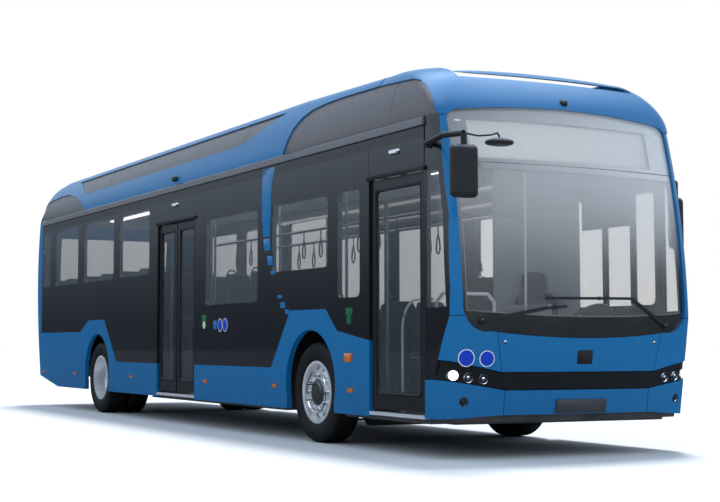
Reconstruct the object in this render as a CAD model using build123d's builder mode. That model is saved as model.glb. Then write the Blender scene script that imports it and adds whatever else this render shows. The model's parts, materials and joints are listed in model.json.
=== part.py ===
from build123d import *
from collections import namedtuple
from math import asin, atan2, cos, radians, sin, sqrt
import os

# Electric city bus: x forward, y left, z up, origin on the ground under the middle of the outline.

# Main sizes
BODY_LENGTH = 12038.0
BODY_WIDTH = 2550.0
WHEELBASE = 6400.0
FRONT_OVERHANG = 2578.0
MIRROR_REACH = 182.0
SKIRT_Z = 305.0
FLOOR_Z = 350.0
FLOOR_THICK = 70.0
GUTTER_Z = 2835.0
ROOF_TOP = 3390.0
CAP_TOP = 3345.0
WALL = 55.0
SHUT_LINE = 6.0
SEAT_FIT = 0.3

HALF_WIDTH = BODY_WIDTH / 2
REAR_X = -(BODY_LENGTH + MIRROR_REACH) / 2
NOSE_X = REAR_X + BODY_LENGTH
FRONT_AXLE_X = NOSE_X - FRONT_OVERHANG
REAR_AXLE_X = FRONT_AXLE_X - WHEELBASE
WALL_IN = HALF_WIDTH - WALL
EDGE = HALF_WIDTH + WALL

# Wheels
TYRE_R = 478.0
TYRE_WIDTH = 275.0
TYRE_BEAD_R = 286.0
RIM_FLANGE_R = 299.0
RIM_WALL = 12.0
DISC_THICK = 26.0
FRONT_TRACK = 2160.0
REAR_TRACK = 1880.0
TWIN_SPACING = 310.0
HOLE_COUNT = 10
HOLE_R = 30.0
WHEEL_GAP = 8.0

# Steering
KINGPIN_Y = 890.0
KINGPIN_R = 26.0
KINGPIN_CLEAR = 0.4
KNUCKLE_HEIGHT = 230.0
AXLE_EYE_HEIGHT = 110.0
AXLE_EYE_R = 62.0
SPINDLE_R = 70.0
STEER_ARM = 230.0
STEER_ARM_THICK = 36.0
STEER_ARM_WIDTH = 62.0
TIE_ROD_R = 22.0
TIE_EYE_R = 34.0
TIE_PIN_R = 14.0
TIE_CLEAR = 0.4

# Axles
SPRING_R = 120.0
REAR_SPRING_X = 520.0
REAR_HUB_R = 98.0
HUB_CLEAR = 0.4
MOTOR_R = 190.0
MOTOR_LENGTH = 260.0
REAR_ARM_WIDTH = 110.0
REAR_ARM_HEIGHT = 90.0

# Wheel arches and boxes
ARCH_R = 512.0
ARCH_CENTRE_Z = 560.0
ARCH_LEG = 490.0
BOX_HALF_LENGTH = 640.0
BOX_TOP_Z = 1085.0
BOX_SKIN = 25.0
FRONT_BOX_IN_Y = 530.0
REAR_BOX_IN_Y = 590.0

# Side panel heights and seams, x from the front axle
BAND_LOW_Z = 700.0
BAND_REAR_Z = 1105.0
BAND_TOP_Z = 2660.0
REAR_SPLIT = -9110.0
FRONT_SPLIT = 2075.0
TAIL_RISE_X = -8210.0
TAIL_RISE_Z = 450.0
SIDE_SEAMS = (-7160.0, -5590.0, -1070.0)
SEAM_TOP_Z = 1300.0
GROOVE_WIDTH = 6.0
GROOVE_DEPTH = 4.0
FLAP_SPLIT_Z = 712.0
GUTTER_LOW_Z = 2755.0
GUTTER_OUT = 16.0
PANE_THICK = 10.0
PANE_SET = 3.0
WINDOW_RADIUS = 60.0

# Doors, x from the front axle
DOOR_TOP_Z = 2385.0
FRONT_DOOR = (1150.0, 2060.0)
MID_DOOR = (-4095.0, -2895.0)
LEAF_THICK = 40.0
LEAF_SET = 25.0
LEAF_SIDE_GAP = 12.0
LEAF_FLOOR_GAP = 26.0
LEAF_TOP_GAP = 12.0
LEAF_MEET_GAP = 28.0
LEAF_STILE = 62.0
LEAF_RAIL_LOW = 120.0
LEAF_RAIL_HIGH = 80.0
LEAF_GLASS = 8.0
POST_R = 21.0
POST_TO_LEAF = 32.0
ARM_OFFSET = 108.0
PIVOT_OFFSET = 40.0
ARM_WIDTH = 30.0
ARM_THICK = 14.0
ARM_GAP = 5.5
PIVOT_PIN_R = 9.0
PIVOT_CLEAR = 0.5
BRACKET_WIDTH = 60.0
BRACKET_THICK = 16.0
SILL_HEIGHT = 30.0

# Roof
DECK_THICK = 60.0
FAIRING_R = 819.0
FAIRING_EDGE_R = 150.0
FAIRING_SKIN = 45.0
FAIRING_IN_Y = 900.0
FAIRING_DROP_X = -500.0
CAP_BACK = 1150.0
GRILLE_SET = 14.0
GRILLE_SKIN = 20.0
REAR_CAP_BACK = -8400.0

# Front end
BOW_R = 6000.0
FRONT_SKIN = 50.0
FRAME_SKIN = 30.0
LOWER_TOP_Z = 1165.0
GLASS_SET = 30.0
GLASS_THICK = 14.0
GLASS_GAP = 0.8
SIGN_SPLIT_Z = 2436.0
BAND_SET = 15.0
SCREEN_LOW_Z = 990.0
SCREEN_LOW_Y = 900.0
SCREEN_LOW_SIDE_Z = 1042.0
SCREEN_LOW_BEND_Y = 1088.0
SCREEN_LOW_BEND_Z = 1100.0
SCREEN_SIDE_Y = 1155.0
SCREEN_SIDE_LOW_Z = 1240.0
SCREEN_SIDE_TOP_Z = 2760.0
SCREEN_TOP_BEND_Y = 1128.0
SCREEN_TOP_BEND_Z = 2850.0
SCREEN_TOP_Y = 1060.0
SCREEN_TOP_SIDE_Z = 2885.0
SCREEN_TOP_Z = 2940.0
FRONT_BAND_LOW_Z = 568.0
FRONT_BAND_TOP_Z = 707.0
LAMP_BAND_Y = 950.0
FLAP_LOW_Z = 713.0
FLAP_LOW_Y = 785.0
FLAP_TOP_Y = 866.0
BUMPER_HALF = 741.0
BUMPER_LOW_Z = 362.0
BUMPER_TOP_Z = 562.0
CORNER_LOW_Z = 325.0

# Rear end
TAIL_BOW_R = 20000.0
TAIL_CORNER = 90.0
TAIL_LOW_Z = 450.0
HATCH_LOW_Z = 560.0
HATCH_TOP_Z = 1650.0
HATCH_HALF = 850.0
HATCH_GAP = 8.0
HATCH_HEAD_Z = 1660.0
HATCH_HINGE_X = -9443.0
HATCH_HINGE_YS = (-500.0, 0.0, 500.0)
HATCH_HINGE_LENGTH = 120.0
REAR_PANE_LOW_Z = 1850.0
REAR_PANE_TOP_Z = 2600.0
REAR_PANE_HALF = 900.0

# Raised rear floor, x from the front axle
PLATFORM_Z = 850.0
PLATFORM_FRONT = -4330.0
PLATFORM_THICK = 50.0
STEP_DEPTH = 300.0
STEP_HALF = 340.0
RAIL_HEIGHT = 140.0
RAIL_WIDTH = 90.0
RAIL_Y = 430.0


def fx(distance):
    """Frame x of a point given by its distance ahead of the front axle."""
    return FRONT_AXLE_X + distance


Section = namedtuple("Section", "z tip half_width corner")

# Front end plan sections, tip from the front axle
LOWER_SECTIONS = (
    Section(SKIRT_Z, 2455.0, HALF_WIDTH, 180.0),
    Section(620.0, 2505.0, HALF_WIDTH, 180.0),
    Section(LOWER_TOP_Z, FRONT_OVERHANG, HALF_WIDTH, 165.0),
)
UPPER_SECTIONS = (
    Section(940.0, 2578.0, HALF_WIDTH, 165.0),
    Section(1985.0, 2515.0, HALF_WIDTH - 1.0, 160.0),
    Section(2970.0, 2310.0, HALF_WIDTH - 11.0, 155.0),
)
CAP_SECTIONS = (
    Section(GUTTER_Z, 2352.0, HALF_WIDTH, 155.0),
    Section(2970.0, 2310.0, HALF_WIDTH - 11.0, 165.0),
    Section(3100.0, 2235.0, HALF_WIDTH - 44.0, 230.0),
    Section(3220.0, 2120.0, HALF_WIDTH - 97.0, 330.0),
    Section(3310.0, 1960.0, HALF_WIDTH - 165.0, 430.0),
    Section(CAP_TOP, 1800.0, HALF_WIDTH - 260.0, 520.0),
)
TAIL_SECTIONS = (
    Section(TAIL_LOW_Z, -9250.0, HALF_WIDTH, TAIL_CORNER),
    Section(1100.0, -9385.0, HALF_WIDTH, TAIL_CORNER),
    Section(1820.0, FRONT_OVERHANG - BODY_LENGTH + 2.0, HALF_WIDTH, TAIL_CORNER),
    Section(GUTTER_Z, -9353.0, HALF_WIDTH, TAIL_CORNER),
)
TAIL_CAP_SECTIONS = (
    Section(GUTTER_Z, -9353.0, HALF_WIDTH, TAIL_CORNER),
    Section(3000.0, -9310.0, HALF_WIDTH - 17.0, 200.0),
    Section(3150.0, -9225.0, HALF_WIDTH - 63.0, 260.0),
    Section(3290.0, -9090.0, HALF_WIDTH - 139.0, 350.0),
    Section(ROOF_TOP, -8930.0, HALF_WIDTH - 287.0, 400.0),
)

Window = namedtuple("Window", "x0 x1 z0 z1")
RIGHT_REAR_WINDOWS = (
    Window(-9085.0, -8680.0, 1800.0, 2620.0),
    Window(-8420.0, -7300.0, 1800.0, 2620.0),
    Window(-7045.0, -5745.0, 1800.0, 2620.0),
    Window(-5525.0, -4390.0, 1800.0, 2620.0),
)
RIGHT_MID_WINDOWS = (
    Window(-2590.0, -1190.0, 1370.0, 2335.0),
    Window(-850.0, 370.0, 1660.0, 2335.0),
    Window(555.0, 980.0, 1360.0, 2335.0),
)
LEFT_WINDOWS = RIGHT_REAR_WINDOWS + (
    Window(-4100.0, -2790.0, 1370.0, 2335.0),
    Window(-2590.0, -1190.0, 1370.0, 2335.0),
    Window(-850.0, 370.0, 1660.0, 2335.0),
    Window(800.0, 2010.0, 1300.0, 2335.0),
)
QUARTER_WINDOW = ((2100.0, 1235.0), (2378.0, 1235.0), (2328.0, 1985.0), (2262.0, 2365.0), (2100.0, 2365.0))
QUARTER_FOOT_Z = 668.0
QUARTER_FRONT = 2403.0
CAB_SILL_Z = 970.0
SURROUND_Z = 1265.0
# Tops of the arch surrounds, x from each axle
FRONT_SURROUND = ((FRONT_DOOR[0], CAB_SILL_Z), (550.0, 1060.0), (325.0, SURROUND_Z), (-425.0, SURROUND_Z),
                  (-860.0, BAND_LOW_Z))
REAR_SURROUND = ((809.0, BAND_LOW_Z), (296.0, SURROUND_Z), (-376.0, SURROUND_Z), (-762.0, BAND_REAR_Z))
QUARTER_LOW = ((FRONT_SPLIT, QUARTER_FOOT_Z), (2235.0, 690.0), (2275.0, 818.0), (QUARTER_FRONT, LOWER_TOP_Z),
               (FRONT_SPLIT, LOWER_TOP_Z))
QUARTER_HIGH = ((FRONT_SPLIT, LOWER_TOP_Z), (QUARTER_FRONT, LOWER_TOP_Z), (QUARTER_FRONT, 1400.0), (2367.0, 1985.0),
                (2225.0, 2760.0), (2206.0, GUTTER_Z), (FRONT_SPLIT, GUTTER_Z))
LAMP_BAND_HALF = ((0.0, FRONT_BAND_LOW_Z), (BUMPER_HALF, FRONT_BAND_LOW_Z), (LAMP_BAND_Y, 602.0), (EDGE, 660.0),
                  (EDGE, 815.0), (LAMP_BAND_Y, 742.0), (FLAP_LOW_Y, FRONT_BAND_TOP_Z), (0.0, FRONT_BAND_TOP_Z))


def plan_outline(tip, back, half_width, corner, bow):
    """Closed plan outline: two sides, two corner arcs and one bowed end."""
    way = 1.0 if tip > back else -1.0
    bow_x = tip - way * bow
    run = sqrt((bow - corner) ** 2 - (half_width - corner) ** 2)
    corner_x = bow_x + way * run
    turn = atan2(half_width - corner, run)
    middle = (turn + radians(90.0)) / 2
    meet_x = bow_x + way * bow * cos(turn)
    meet_y = bow * sin(turn)
    mid_x = corner_x + way * corner * cos(middle)
    mid_y = half_width - corner + corner * sin(middle)
    with BuildLine() as outline:
        Line((back, -half_width), (corner_x, -half_width))
        ThreePointArc((corner_x, -half_width), (mid_x, -mid_y), (meet_x, -meet_y))
        ThreePointArc((meet_x, -meet_y), (tip, 0.0), (meet_x, meet_y))
        ThreePointArc((meet_x, meet_y), (mid_x, mid_y), (corner_x, half_width))
        Line((corner_x, half_width), (back, half_width))
        Line((back, half_width), (back, -half_width))
    make_face(outline.edges())


def end_block(sections, back, bow, inset, ruled):
    """Solid end of the body lofted through plan sections, all faces moved in by the inset."""
    way = 1.0 if sections[0].tip > back else -1.0
    with BuildPart() as block:
        for row in sections:
            with BuildSketch(Plane.XY.offset(row.z)):
                plan_outline(fx(row.tip) - way * inset, fx(back), row.half_width - inset,
                             row.corner - inset, bow - inset)
        loft(ruled=ruled)
    return block.part


def fairing_section(x, top, inset):
    """Roof side section on the left: a big tumblehome arc running into an edge arc and a flat top."""
    hub_y = HALF_WIDTH - FAIRING_R
    turn = asin((top - GUTTER_Z - FAIRING_EDGE_R) / (FAIRING_R - FAIRING_EDGE_R))
    edge_y = hub_y + (FAIRING_R - FAIRING_EDGE_R) * cos(turn)
    edge_z = top - FAIRING_EDGE_R
    big = FAIRING_R - inset
    edge = FAIRING_EDGE_R - inset
    meet = (hub_y + big * cos(turn), GUTTER_Z + big * sin(turn))
    bend = (turn + radians(90.0)) / 2
    with BuildSketch(Plane.YZ.offset(fx(x))) as section:
        with BuildLine():
            Line((FAIRING_IN_Y, GUTTER_Z), (hub_y + big, GUTTER_Z))
            ThreePointArc((hub_y + big, GUTTER_Z),
                          (hub_y + big * cos(turn / 2), GUTTER_Z + big * sin(turn / 2)), meet)
            ThreePointArc(meet, (edge_y + edge * cos(bend), edge_z + edge * sin(bend)),
                          (edge_y, top - inset))
            Line((edge_y, top - inset), (FAIRING_IN_Y, top - inset))
            Line((FAIRING_IN_Y, top - inset), (FAIRING_IN_Y, GUTTER_Z))
        make_face()
    return section.sketch


def fairing_block(inset):
    """Solid left roof side: level behind, falling to the front cap."""
    with BuildPart() as block:
        extrude(fairing_section(REAR_CAP_BACK, ROOF_TOP, inset), amount=FAIRING_DROP_X - REAR_CAP_BACK)
        loft((fairing_section(FAIRING_DROP_X, ROOF_TOP, inset),
              fairing_section(CAP_BACK, CAP_TOP, inset)), ruled=True)
    return block.part


def wall_plane(side):
    """Sketch plane on which a side panel is drawn, so that extruding by the wall fills the panel."""
    return Plane.XZ.offset(WALL_IN if side < 0 else -HALF_WIDTH)


def polygon(points, mode=Mode.ADD):
    """Face inside a closed row of points."""
    with BuildLine() as outline:
        Polyline(*points, close=True)
    make_face(outline.edges(), mode=mode)


def skirt_outline(side, mode=Mode.ADD):
    """Painted lower side with its raised arch surrounds."""
    points = [(REAR_SPLIT, TAIL_RISE_Z), (TAIL_RISE_X, SKIRT_Z), (FRONT_SPLIT, SKIRT_Z),
              (FRONT_SPLIT, QUARTER_FOOT_Z)]
    if side > 0:
        points += [(FRONT_SPLIT, CAB_SILL_Z)]
    points += FRONT_SURROUND
    points += [(x - WHEELBASE, z) for x, z in REAR_SURROUND]
    points += [(REAR_SPLIT, BAND_REAR_Z)]
    polygon([(fx(x), z) for x, z in points], mode)


def span_box(x0, x1, z0, z1, mode=Mode.ADD):
    """Rectangle in a side sketch between two distances from the front axle."""
    with Locations((fx((x0 + x1) / 2), (z0 + z1) / 2)):
        Rectangle(x1 - x0, z1 - z0, mode=mode)


def window_outline(window, shrink, mode=Mode.ADD):
    """Rounded window opening, or the pane that fills it less the shrink."""
    with Locations((fx((window.x0 + window.x1) / 2), (window.z0 + window.z1) / 2)):
        RectangleRounded(window.x1 - window.x0 - 2 * shrink, window.z1 - window.z0 - 2 * shrink,
                         WINDOW_RADIUS - shrink, mode=mode)


def arch_cuts():
    """Wheel openings of both axles, taken out of a side sketch."""
    for axle_x in (FRONT_AXLE_X, REAR_AXLE_X):
        with Locations((axle_x, ARCH_CENTRE_Z)):
            Circle(ARCH_R, mode=Mode.SUBTRACT)
        with Locations((axle_x, ARCH_CENTRE_Z / 2)):
            Rectangle(2 * ARCH_LEG, ARCH_CENTRE_Z, mode=Mode.SUBTRACT)


def seam_cuts():
    """Upright shut lines between side panels."""
    for seam in SIDE_SEAMS:
        span_box(seam - SHUT_LINE / 2, seam + SHUT_LINE / 2, 0.0, SEAM_TOP_Z, Mode.SUBTRACT)


def block(x0, x1, y0, y1, z0, z1, mode=Mode.ADD):
    """Box between six limits, x from the front axle."""
    with Locations((fx((x0 + x1) / 2), (y0 + y1) / 2, (z0 + z1) / 2)):
        Box(x1 - x0, y1 - y0, z1 - z0, mode=mode)


pieces = {}


def keep(builder, name):
    """Label a finished piece and put it on the list of pieces to write out."""
    builder.part.label = name
    pieces[name] = builder.part


# Lines between the rear side flaps and round the charging flaps
FLAP_GROOVES = (
    (-8560.0, -8560.0, SKIRT_Z, BAND_REAR_Z),
    (-7610.0, -7610.0, SKIRT_Z, BAND_REAR_Z),
    (REAR_SPLIT, SIDE_SEAMS[0], FLAP_SPLIT_Z, FLAP_SPLIT_Z),
    (-8850.0, -8850.0, 840.0, 990.0),
    (-8700.0, -8700.0, 840.0, 990.0),
    (-8850.0, -8700.0, 840.0, 840.0),
    (-8850.0, -8700.0, 990.0, 990.0),
)

# Side walls: right with two doorways, left closed
with BuildPart() as skirt_right:
    with BuildSketch(wall_plane(-1)):
        skirt_outline(-1)
        arch_cuts()
        seam_cuts()
        span_box(MID_DOOR[0], MID_DOOR[1], 0.0, DOOR_TOP_Z, Mode.SUBTRACT)
        span_box(FRONT_DOOR[0], FRONT_SPLIT, 0.0, DOOR_TOP_Z, Mode.SUBTRACT)
    extrude(amount=WALL)

with BuildPart() as skirt_left:
    with BuildSketch(wall_plane(1)):
        skirt_outline(1)
        arch_cuts()
        seam_cuts()
    extrude(amount=WALL)

with BuildPart() as skirts:
    add(skirt_right.part)
    add(skirt_left.part)
    for x0, x1, z0, z1 in FLAP_GROOVES:
        for side in (-1, 1):
            block(x0 - GROOVE_WIDTH / 2, x1 + GROOVE_WIDTH / 2, side * HALF_WIDTH - GROOVE_DEPTH,
                  side * HALF_WIDTH + GROOVE_DEPTH, z0 - GROOVE_WIDTH / 2, z1 + GROOVE_WIDTH / 2, Mode.SUBTRACT)
keep(skirts, "skirts")

with BuildPart() as window_band_right:
    with BuildSketch(wall_plane(-1)):
        span_box(REAR_SPLIT, FRONT_SPLIT, SKIRT_Z, BAND_TOP_Z)
        skirt_outline(-1, Mode.SUBTRACT)
        span_box(REAR_SPLIT, TAIL_RISE_X, 0.0, BAND_LOW_Z, Mode.SUBTRACT)
        span_box(MID_DOOR[0], MID_DOOR[1], 0.0, DOOR_TOP_Z, Mode.SUBTRACT)
        span_box(FRONT_DOOR[0], FRONT_SPLIT, 0.0, DOOR_TOP_Z, Mode.SUBTRACT)
        for door_edge in (MID_DOOR[0], MID_DOOR[1], FRONT_DOOR[0]):
            span_box(door_edge - SHUT_LINE / 2, door_edge + SHUT_LINE / 2, DOOR_TOP_Z - SHUT_LINE,
                     BAND_TOP_Z, Mode.SUBTRACT)
        for opening in RIGHT_REAR_WINDOWS + RIGHT_MID_WINDOWS:
            window_outline(opening, 0.0, Mode.SUBTRACT)
    extrude(amount=WALL)
keep(window_band_right, "window_band_right")

with BuildPart() as window_band_left:
    with BuildSketch(wall_plane(1)):
        span_box(REAR_SPLIT, FRONT_SPLIT, SKIRT_Z, BAND_TOP_Z)
        skirt_outline(1, Mode.SUBTRACT)
        span_box(REAR_SPLIT, TAIL_RISE_X, 0.0, BAND_LOW_Z, Mode.SUBTRACT)
        for opening in LEFT_WINDOWS:
            window_outline(opening, 0.0, Mode.SUBTRACT)
    extrude(amount=WALL)
keep(window_band_left, "window_band_left")

with BuildPart() as cant_rails:
    for side in (-1, 1):
        with BuildSketch(Plane.YZ.offset(fx(REAR_SPLIT))):
            polygon(((side * WALL_IN, BAND_TOP_Z), (side * HALF_WIDTH, BAND_TOP_Z),
                     (side * HALF_WIDTH, GUTTER_LOW_Z), (side * (HALF_WIDTH + GUTTER_OUT), GUTTER_LOW_Z),
                     (side * (HALF_WIDTH + GUTTER_OUT), GUTTER_Z - GUTTER_OUT),
                     (side * HALF_WIDTH, GUTTER_Z), (side * WALL_IN, GUTTER_Z)))
        extrude(amount=FRONT_SPLIT - REAR_SPLIT)
keep(cant_rails, "cant_rails")

# Side panes
with BuildPart() as side_glass:
    with BuildSketch(Plane.XZ.offset(HALF_WIDTH - PANE_SET - PANE_THICK)):
        for opening in RIGHT_REAR_WINDOWS + RIGHT_MID_WINDOWS:
            window_outline(opening, SEAT_FIT)
    extrude(amount=PANE_THICK)
    with BuildSketch(Plane.XZ.offset(PANE_SET - HALF_WIDTH)):
        for opening in LEFT_WINDOWS:
            window_outline(opening, SEAT_FIT)
    extrude(amount=PANE_THICK)

# Roof deck, side fairings with dark panels, roof ends
with BuildPart() as roof_deck:
    with BuildSketch(Plane.XY.offset(GUTTER_Z - DECK_THICK)):
        with Locations((fx((REAR_SPLIT + FRONT_SPLIT) / 2), 0.0)):
            Rectangle(FRONT_SPLIT - REAR_SPLIT, 2 * WALL_IN)
    extrude(amount=DECK_THICK)
keep(roof_deck, "roof_deck")

GRILLE_FRONT = ((-600.0, GUTTER_Z), (-520.0, 2970.0), (-435.0, 3085.0), (-310.0, 3175.0), (-150.0, 3230.0),
                (100.0, 3255.0), (400.0, 3264.0), (CAP_BACK, 3250.0), (CAP_BACK, GUTTER_Z))
GRILLE_CAP = ((CAP_BACK, GUTTER_Z), (CAP_BACK, 3250.0), (1550.0, 3224.0), (1760.0, 3208.0), (1890.0, 3178.0),
              (2013.0, 3105.0), (2100.0, 3030.0), (2157.0, 2950.0), (2206.0, GUTTER_Z))
GRILLE_LONG = ((-7040.0, 3072.0), (-1820.0, 3072.0), (-1600.0, 3090.0), (-1400.0, 3140.0), (-790.0, 3308.0),
               (-7670.0, 3308.0), (-7250.0, 3100.0))
GRILLE_REAR = ((REAR_CAP_BACK, GUTTER_Z), (-7050.0, GUTTER_Z), (-7130.0, 2905.0), (-7250.0, 2975.0),
               (-7540.0, 3080.0), (-7950.0, 3145.0), (REAR_CAP_BACK, 3160.0))
GRILLE_TAIL = ((-9270.0, GUTTER_Z), (REAR_CAP_BACK, GUTTER_Z), (REAR_CAP_BACK, 3160.0), (-9050.0, 3115.0),
               (-9200.0, 3005.0))
ACROSS = 2 * BODY_WIDTH
PANEL_JOINTS = (-6100.0, -1660.0, 1500.0)
CAP_SLOT_HALF = 930.0
CAP_SLOT_Z = (3200.0, 3252.0)
CAP_LIP_X = 1985.0
CAP_SLOT = ((-CAP_SLOT_HALF, CAP_SLOT_Z[0]), (CAP_SLOT_HALF, CAP_SLOT_Z[0]), (CAP_SLOT_HALF, CAP_SLOT_Z[1]),
            (-CAP_SLOT_HALF, CAP_SLOT_Z[1]))


def side_prism(outlines, mode):
    """Bar through the whole width with the given side outlines."""
    with BuildSketch(Plane.XZ.offset(-BODY_WIDTH)) as profile:
        for outline in outlines:
            polygon([(fx(x), z) for x, z in outline])
    extrude(profile.sketch, amount=ACROSS, mode=mode)


def windscreen_face(grow):
    """Front view of the windscreen: smiling lower edge, rounded corners, arched top."""
    half = (
        (SCREEN_LOW_Y, SCREEN_LOW_SIDE_Z - grow),
        (SCREEN_LOW_BEND_Y + grow, SCREEN_LOW_BEND_Z - grow),
        (SCREEN_SIDE_Y + grow, SCREEN_SIDE_LOW_Z),
        (SCREEN_SIDE_Y + grow, SCREEN_SIDE_TOP_Z),
        (SCREEN_TOP_BEND_Y + grow, SCREEN_TOP_BEND_Z + grow),
        (SCREEN_TOP_Y, SCREEN_TOP_SIDE_Z + grow),
    )
    other = [(-y, z) for y, z in half]
    with BuildSketch(Plane.YZ.offset(fx(CAP_BACK))) as face:
        with BuildLine():
            ThreePointArc(other[0], (0.0, SCREEN_LOW_Z - grow), half[0])
            ThreePointArc(*half[0:3])
            Line(half[2], half[3])
            ThreePointArc(*half[3:6])
            ThreePointArc(half[5], (0.0, SCREEN_TOP_Z + grow), other[5])
            ThreePointArc(other[5], other[4], other[3])
            Line(other[3], other[2])
            ThreePointArc(other[2], other[1], other[0])
        make_face()
    return face.sketch


def front_prism(face, mode):
    """Bar running forward from a front view outline."""
    extrude(face, amount=FRONT_OVERHANG, mode=mode)


def front_polygon(outlines):
    """Front view faces from rows of y, z points."""
    with BuildSketch(Plane.YZ.offset(fx(CAP_BACK))) as face:
        for outline in outlines:
            polygon(outline)
    return face.sketch


def both_sides(outline):
    """Closed front view outline from its left half, given from the bottom up."""
    return list(outline) + [(-y, z) for y, z in reversed(outline) if y > 0]


with BuildPart() as roof_fairings:
    add(fairing_block(0.0))
    add(fairing_block(FAIRING_SKIN), mode=Mode.SUBTRACT)
    side_prism((GRILLE_FRONT, GRILLE_LONG, GRILLE_REAR), Mode.SUBTRACT)
    mirror(about=Plane.XZ)
keep(roof_fairings, "roof_fairings")

with BuildPart() as front_cap:
    add(end_block(CAP_SECTIONS, CAP_BACK, BOW_R, 0.0, False))
    add(end_block(CAP_SECTIONS, CAP_BACK, BOW_R, FAIRING_SKIN, False), mode=Mode.SUBTRACT)
    side_prism((GRILLE_CAP,), Mode.SUBTRACT)
    front_prism(windscreen_face(GLASS_GAP), Mode.SUBTRACT)
    front_prism(front_polygon((CAP_SLOT,)), Mode.SUBTRACT)
    block(CAP_BACK, CAP_LIP_X, -CAP_SLOT_HALF, CAP_SLOT_HALF, CAP_SLOT_Z[0], ROOF_TOP, Mode.SUBTRACT)
keep(front_cap, "front_cap")

with BuildPart() as rear_cap:
    add(end_block(TAIL_CAP_SECTIONS, REAR_CAP_BACK, TAIL_BOW_R, 0.0, False))
    add(end_block(TAIL_CAP_SECTIONS, REAR_CAP_BACK, TAIL_BOW_R, FAIRING_SKIN, False), mode=Mode.SUBTRACT)
    side_prism((GRILLE_TAIL,), Mode.SUBTRACT)
keep(rear_cap, "rear_cap")

with BuildPart() as cap_grille:
    add(end_block(CAP_SECTIONS, CAP_BACK, BOW_R, GRILLE_SET, False))
    add(end_block(CAP_SECTIONS, CAP_BACK, BOW_R, GRILLE_SET + GRILLE_SKIN, False), mode=Mode.SUBTRACT)
    side_prism((GRILLE_CAP,), Mode.INTERSECT)

with BuildPart() as tail_grille:
    add(end_block(TAIL_CAP_SECTIONS, REAR_CAP_BACK, TAIL_BOW_R, GRILLE_SET, False))
    add(end_block(TAIL_CAP_SECTIONS, REAR_CAP_BACK, TAIL_BOW_R, GRILLE_SET + GRILLE_SKIN, False),
        mode=Mode.SUBTRACT)
    side_prism((GRILLE_TAIL,), Mode.INTERSECT)

with BuildPart() as roof_grilles:
    add(fairing_block(GRILLE_SET))
    add(fairing_block(GRILLE_SET + GRILLE_SKIN), mode=Mode.SUBTRACT)
    side_prism((GRILLE_FRONT, GRILLE_LONG, GRILLE_REAR), Mode.INTERSECT)
    mirror(about=Plane.XZ)
    add(cap_grille.part)
    add(tail_grille.part)
    for joint_x in PANEL_JOINTS:
        block(joint_x - SHUT_LINE / 2, joint_x + SHUT_LINE / 2, -HALF_WIDTH, HALF_WIDTH, GUTTER_Z, ROOF_TOP,
              Mode.SUBTRACT)
keep(roof_grilles, "roof_grilles")

# Front end skins, cut from two lofted shells
with BuildPart() as lower_shell:
    add(end_block(LOWER_SECTIONS, FRONT_SPLIT, BOW_R, 0.0, True))
    add(end_block(LOWER_SECTIONS, FRONT_SPLIT, BOW_R, FRONT_SKIN, True), mode=Mode.SUBTRACT)

with BuildPart() as upper_shell:
    add(end_block(UPPER_SECTIONS, CAP_BACK, BOW_R, 0.0, False))
    add(end_block(UPPER_SECTIONS, CAP_BACK, BOW_R, FRONT_SKIN, False), mode=Mode.SUBTRACT)

with BuildPart() as front_frame:
    add(end_block(LOWER_SECTIONS, FRONT_SPLIT, BOW_R, FRONT_SKIN, True))
    add(end_block(LOWER_SECTIONS, FRONT_SPLIT, BOW_R, FRONT_SKIN + FRAME_SKIN, True), mode=Mode.SUBTRACT)
keep(front_frame, "front_frame")

Lamp = namedtuple("Lamp", "y z radius")
HEAD_LAMPS = (Lamp(939.0, 655.0, 40.0), Lamp(1072.0, 666.0, 40.0), Lamp(1192.0, 686.0, 42.0))
FOG_LAMP = Lamp(1098.0, 472.0, 40.0)


def lamp_discs(lamps, shrink):
    """Front view circles of the lamps on both sides."""
    with BuildSketch(Plane.YZ.offset(fx(CAP_BACK))) as discs:
        for lamp in lamps:
            with Locations((-lamp.y, lamp.z), (lamp.y, lamp.z)):
                Circle(lamp.radius - shrink)
    return discs.sketch


FLAP_HALF = ((0.0, FLAP_LOW_Z), (FLAP_LOW_Y, FLAP_LOW_Z), (FLAP_TOP_Y, LOWER_TOP_Z), (0.0, LOWER_TOP_Z))
CORNER_HIGH = ((FLAP_LOW_Y + SHUT_LINE, FLAP_LOW_Z), (LAMP_BAND_Y, 748.0), (EDGE, 821.0),
               (EDGE, LOWER_TOP_Z), (FLAP_TOP_Y + SHUT_LINE, LOWER_TOP_Z))
CORNER_LOW = ((BUMPER_HALF + SHUT_LINE, BUMPER_LOW_Z), (EDGE, CORNER_LOW_Z), (EDGE, 654.0), (LAMP_BAND_Y, 596.0),
              (BUMPER_HALF + SHUT_LINE, BUMPER_TOP_Z))
BUMPER_OUTLINE = ((0.0, BUMPER_LOW_Z), (BUMPER_HALF, BUMPER_LOW_Z), (BUMPER_HALF, BUMPER_TOP_Z), (0.0, BUMPER_TOP_Z))
OTHER_SIDE = -1.0

with BuildPart() as front_flap:
    add(lower_shell.part)
    front_prism(front_polygon((both_sides(FLAP_HALF),)), Mode.INTERSECT)
    front_prism(windscreen_face(GLASS_GAP), Mode.SUBTRACT)

with BuildPart() as front_bumper:
    add(lower_shell.part)
    front_prism(front_polygon((both_sides(BUMPER_OUTLINE),)), Mode.INTERSECT)

with BuildPart() as front_corners:
    add(lower_shell.part)
    front_prism(front_polygon([CORNER_HIGH, CORNER_LOW]
                              + [[(OTHER_SIDE * y, z) for y, z in row] for row in (CORNER_HIGH, CORNER_LOW)]),
                Mode.INTERSECT)
    front_prism(windscreen_face(GLASS_GAP), Mode.SUBTRACT)
    side_prism((QUARTER_LOW,), Mode.SUBTRACT)

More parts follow.
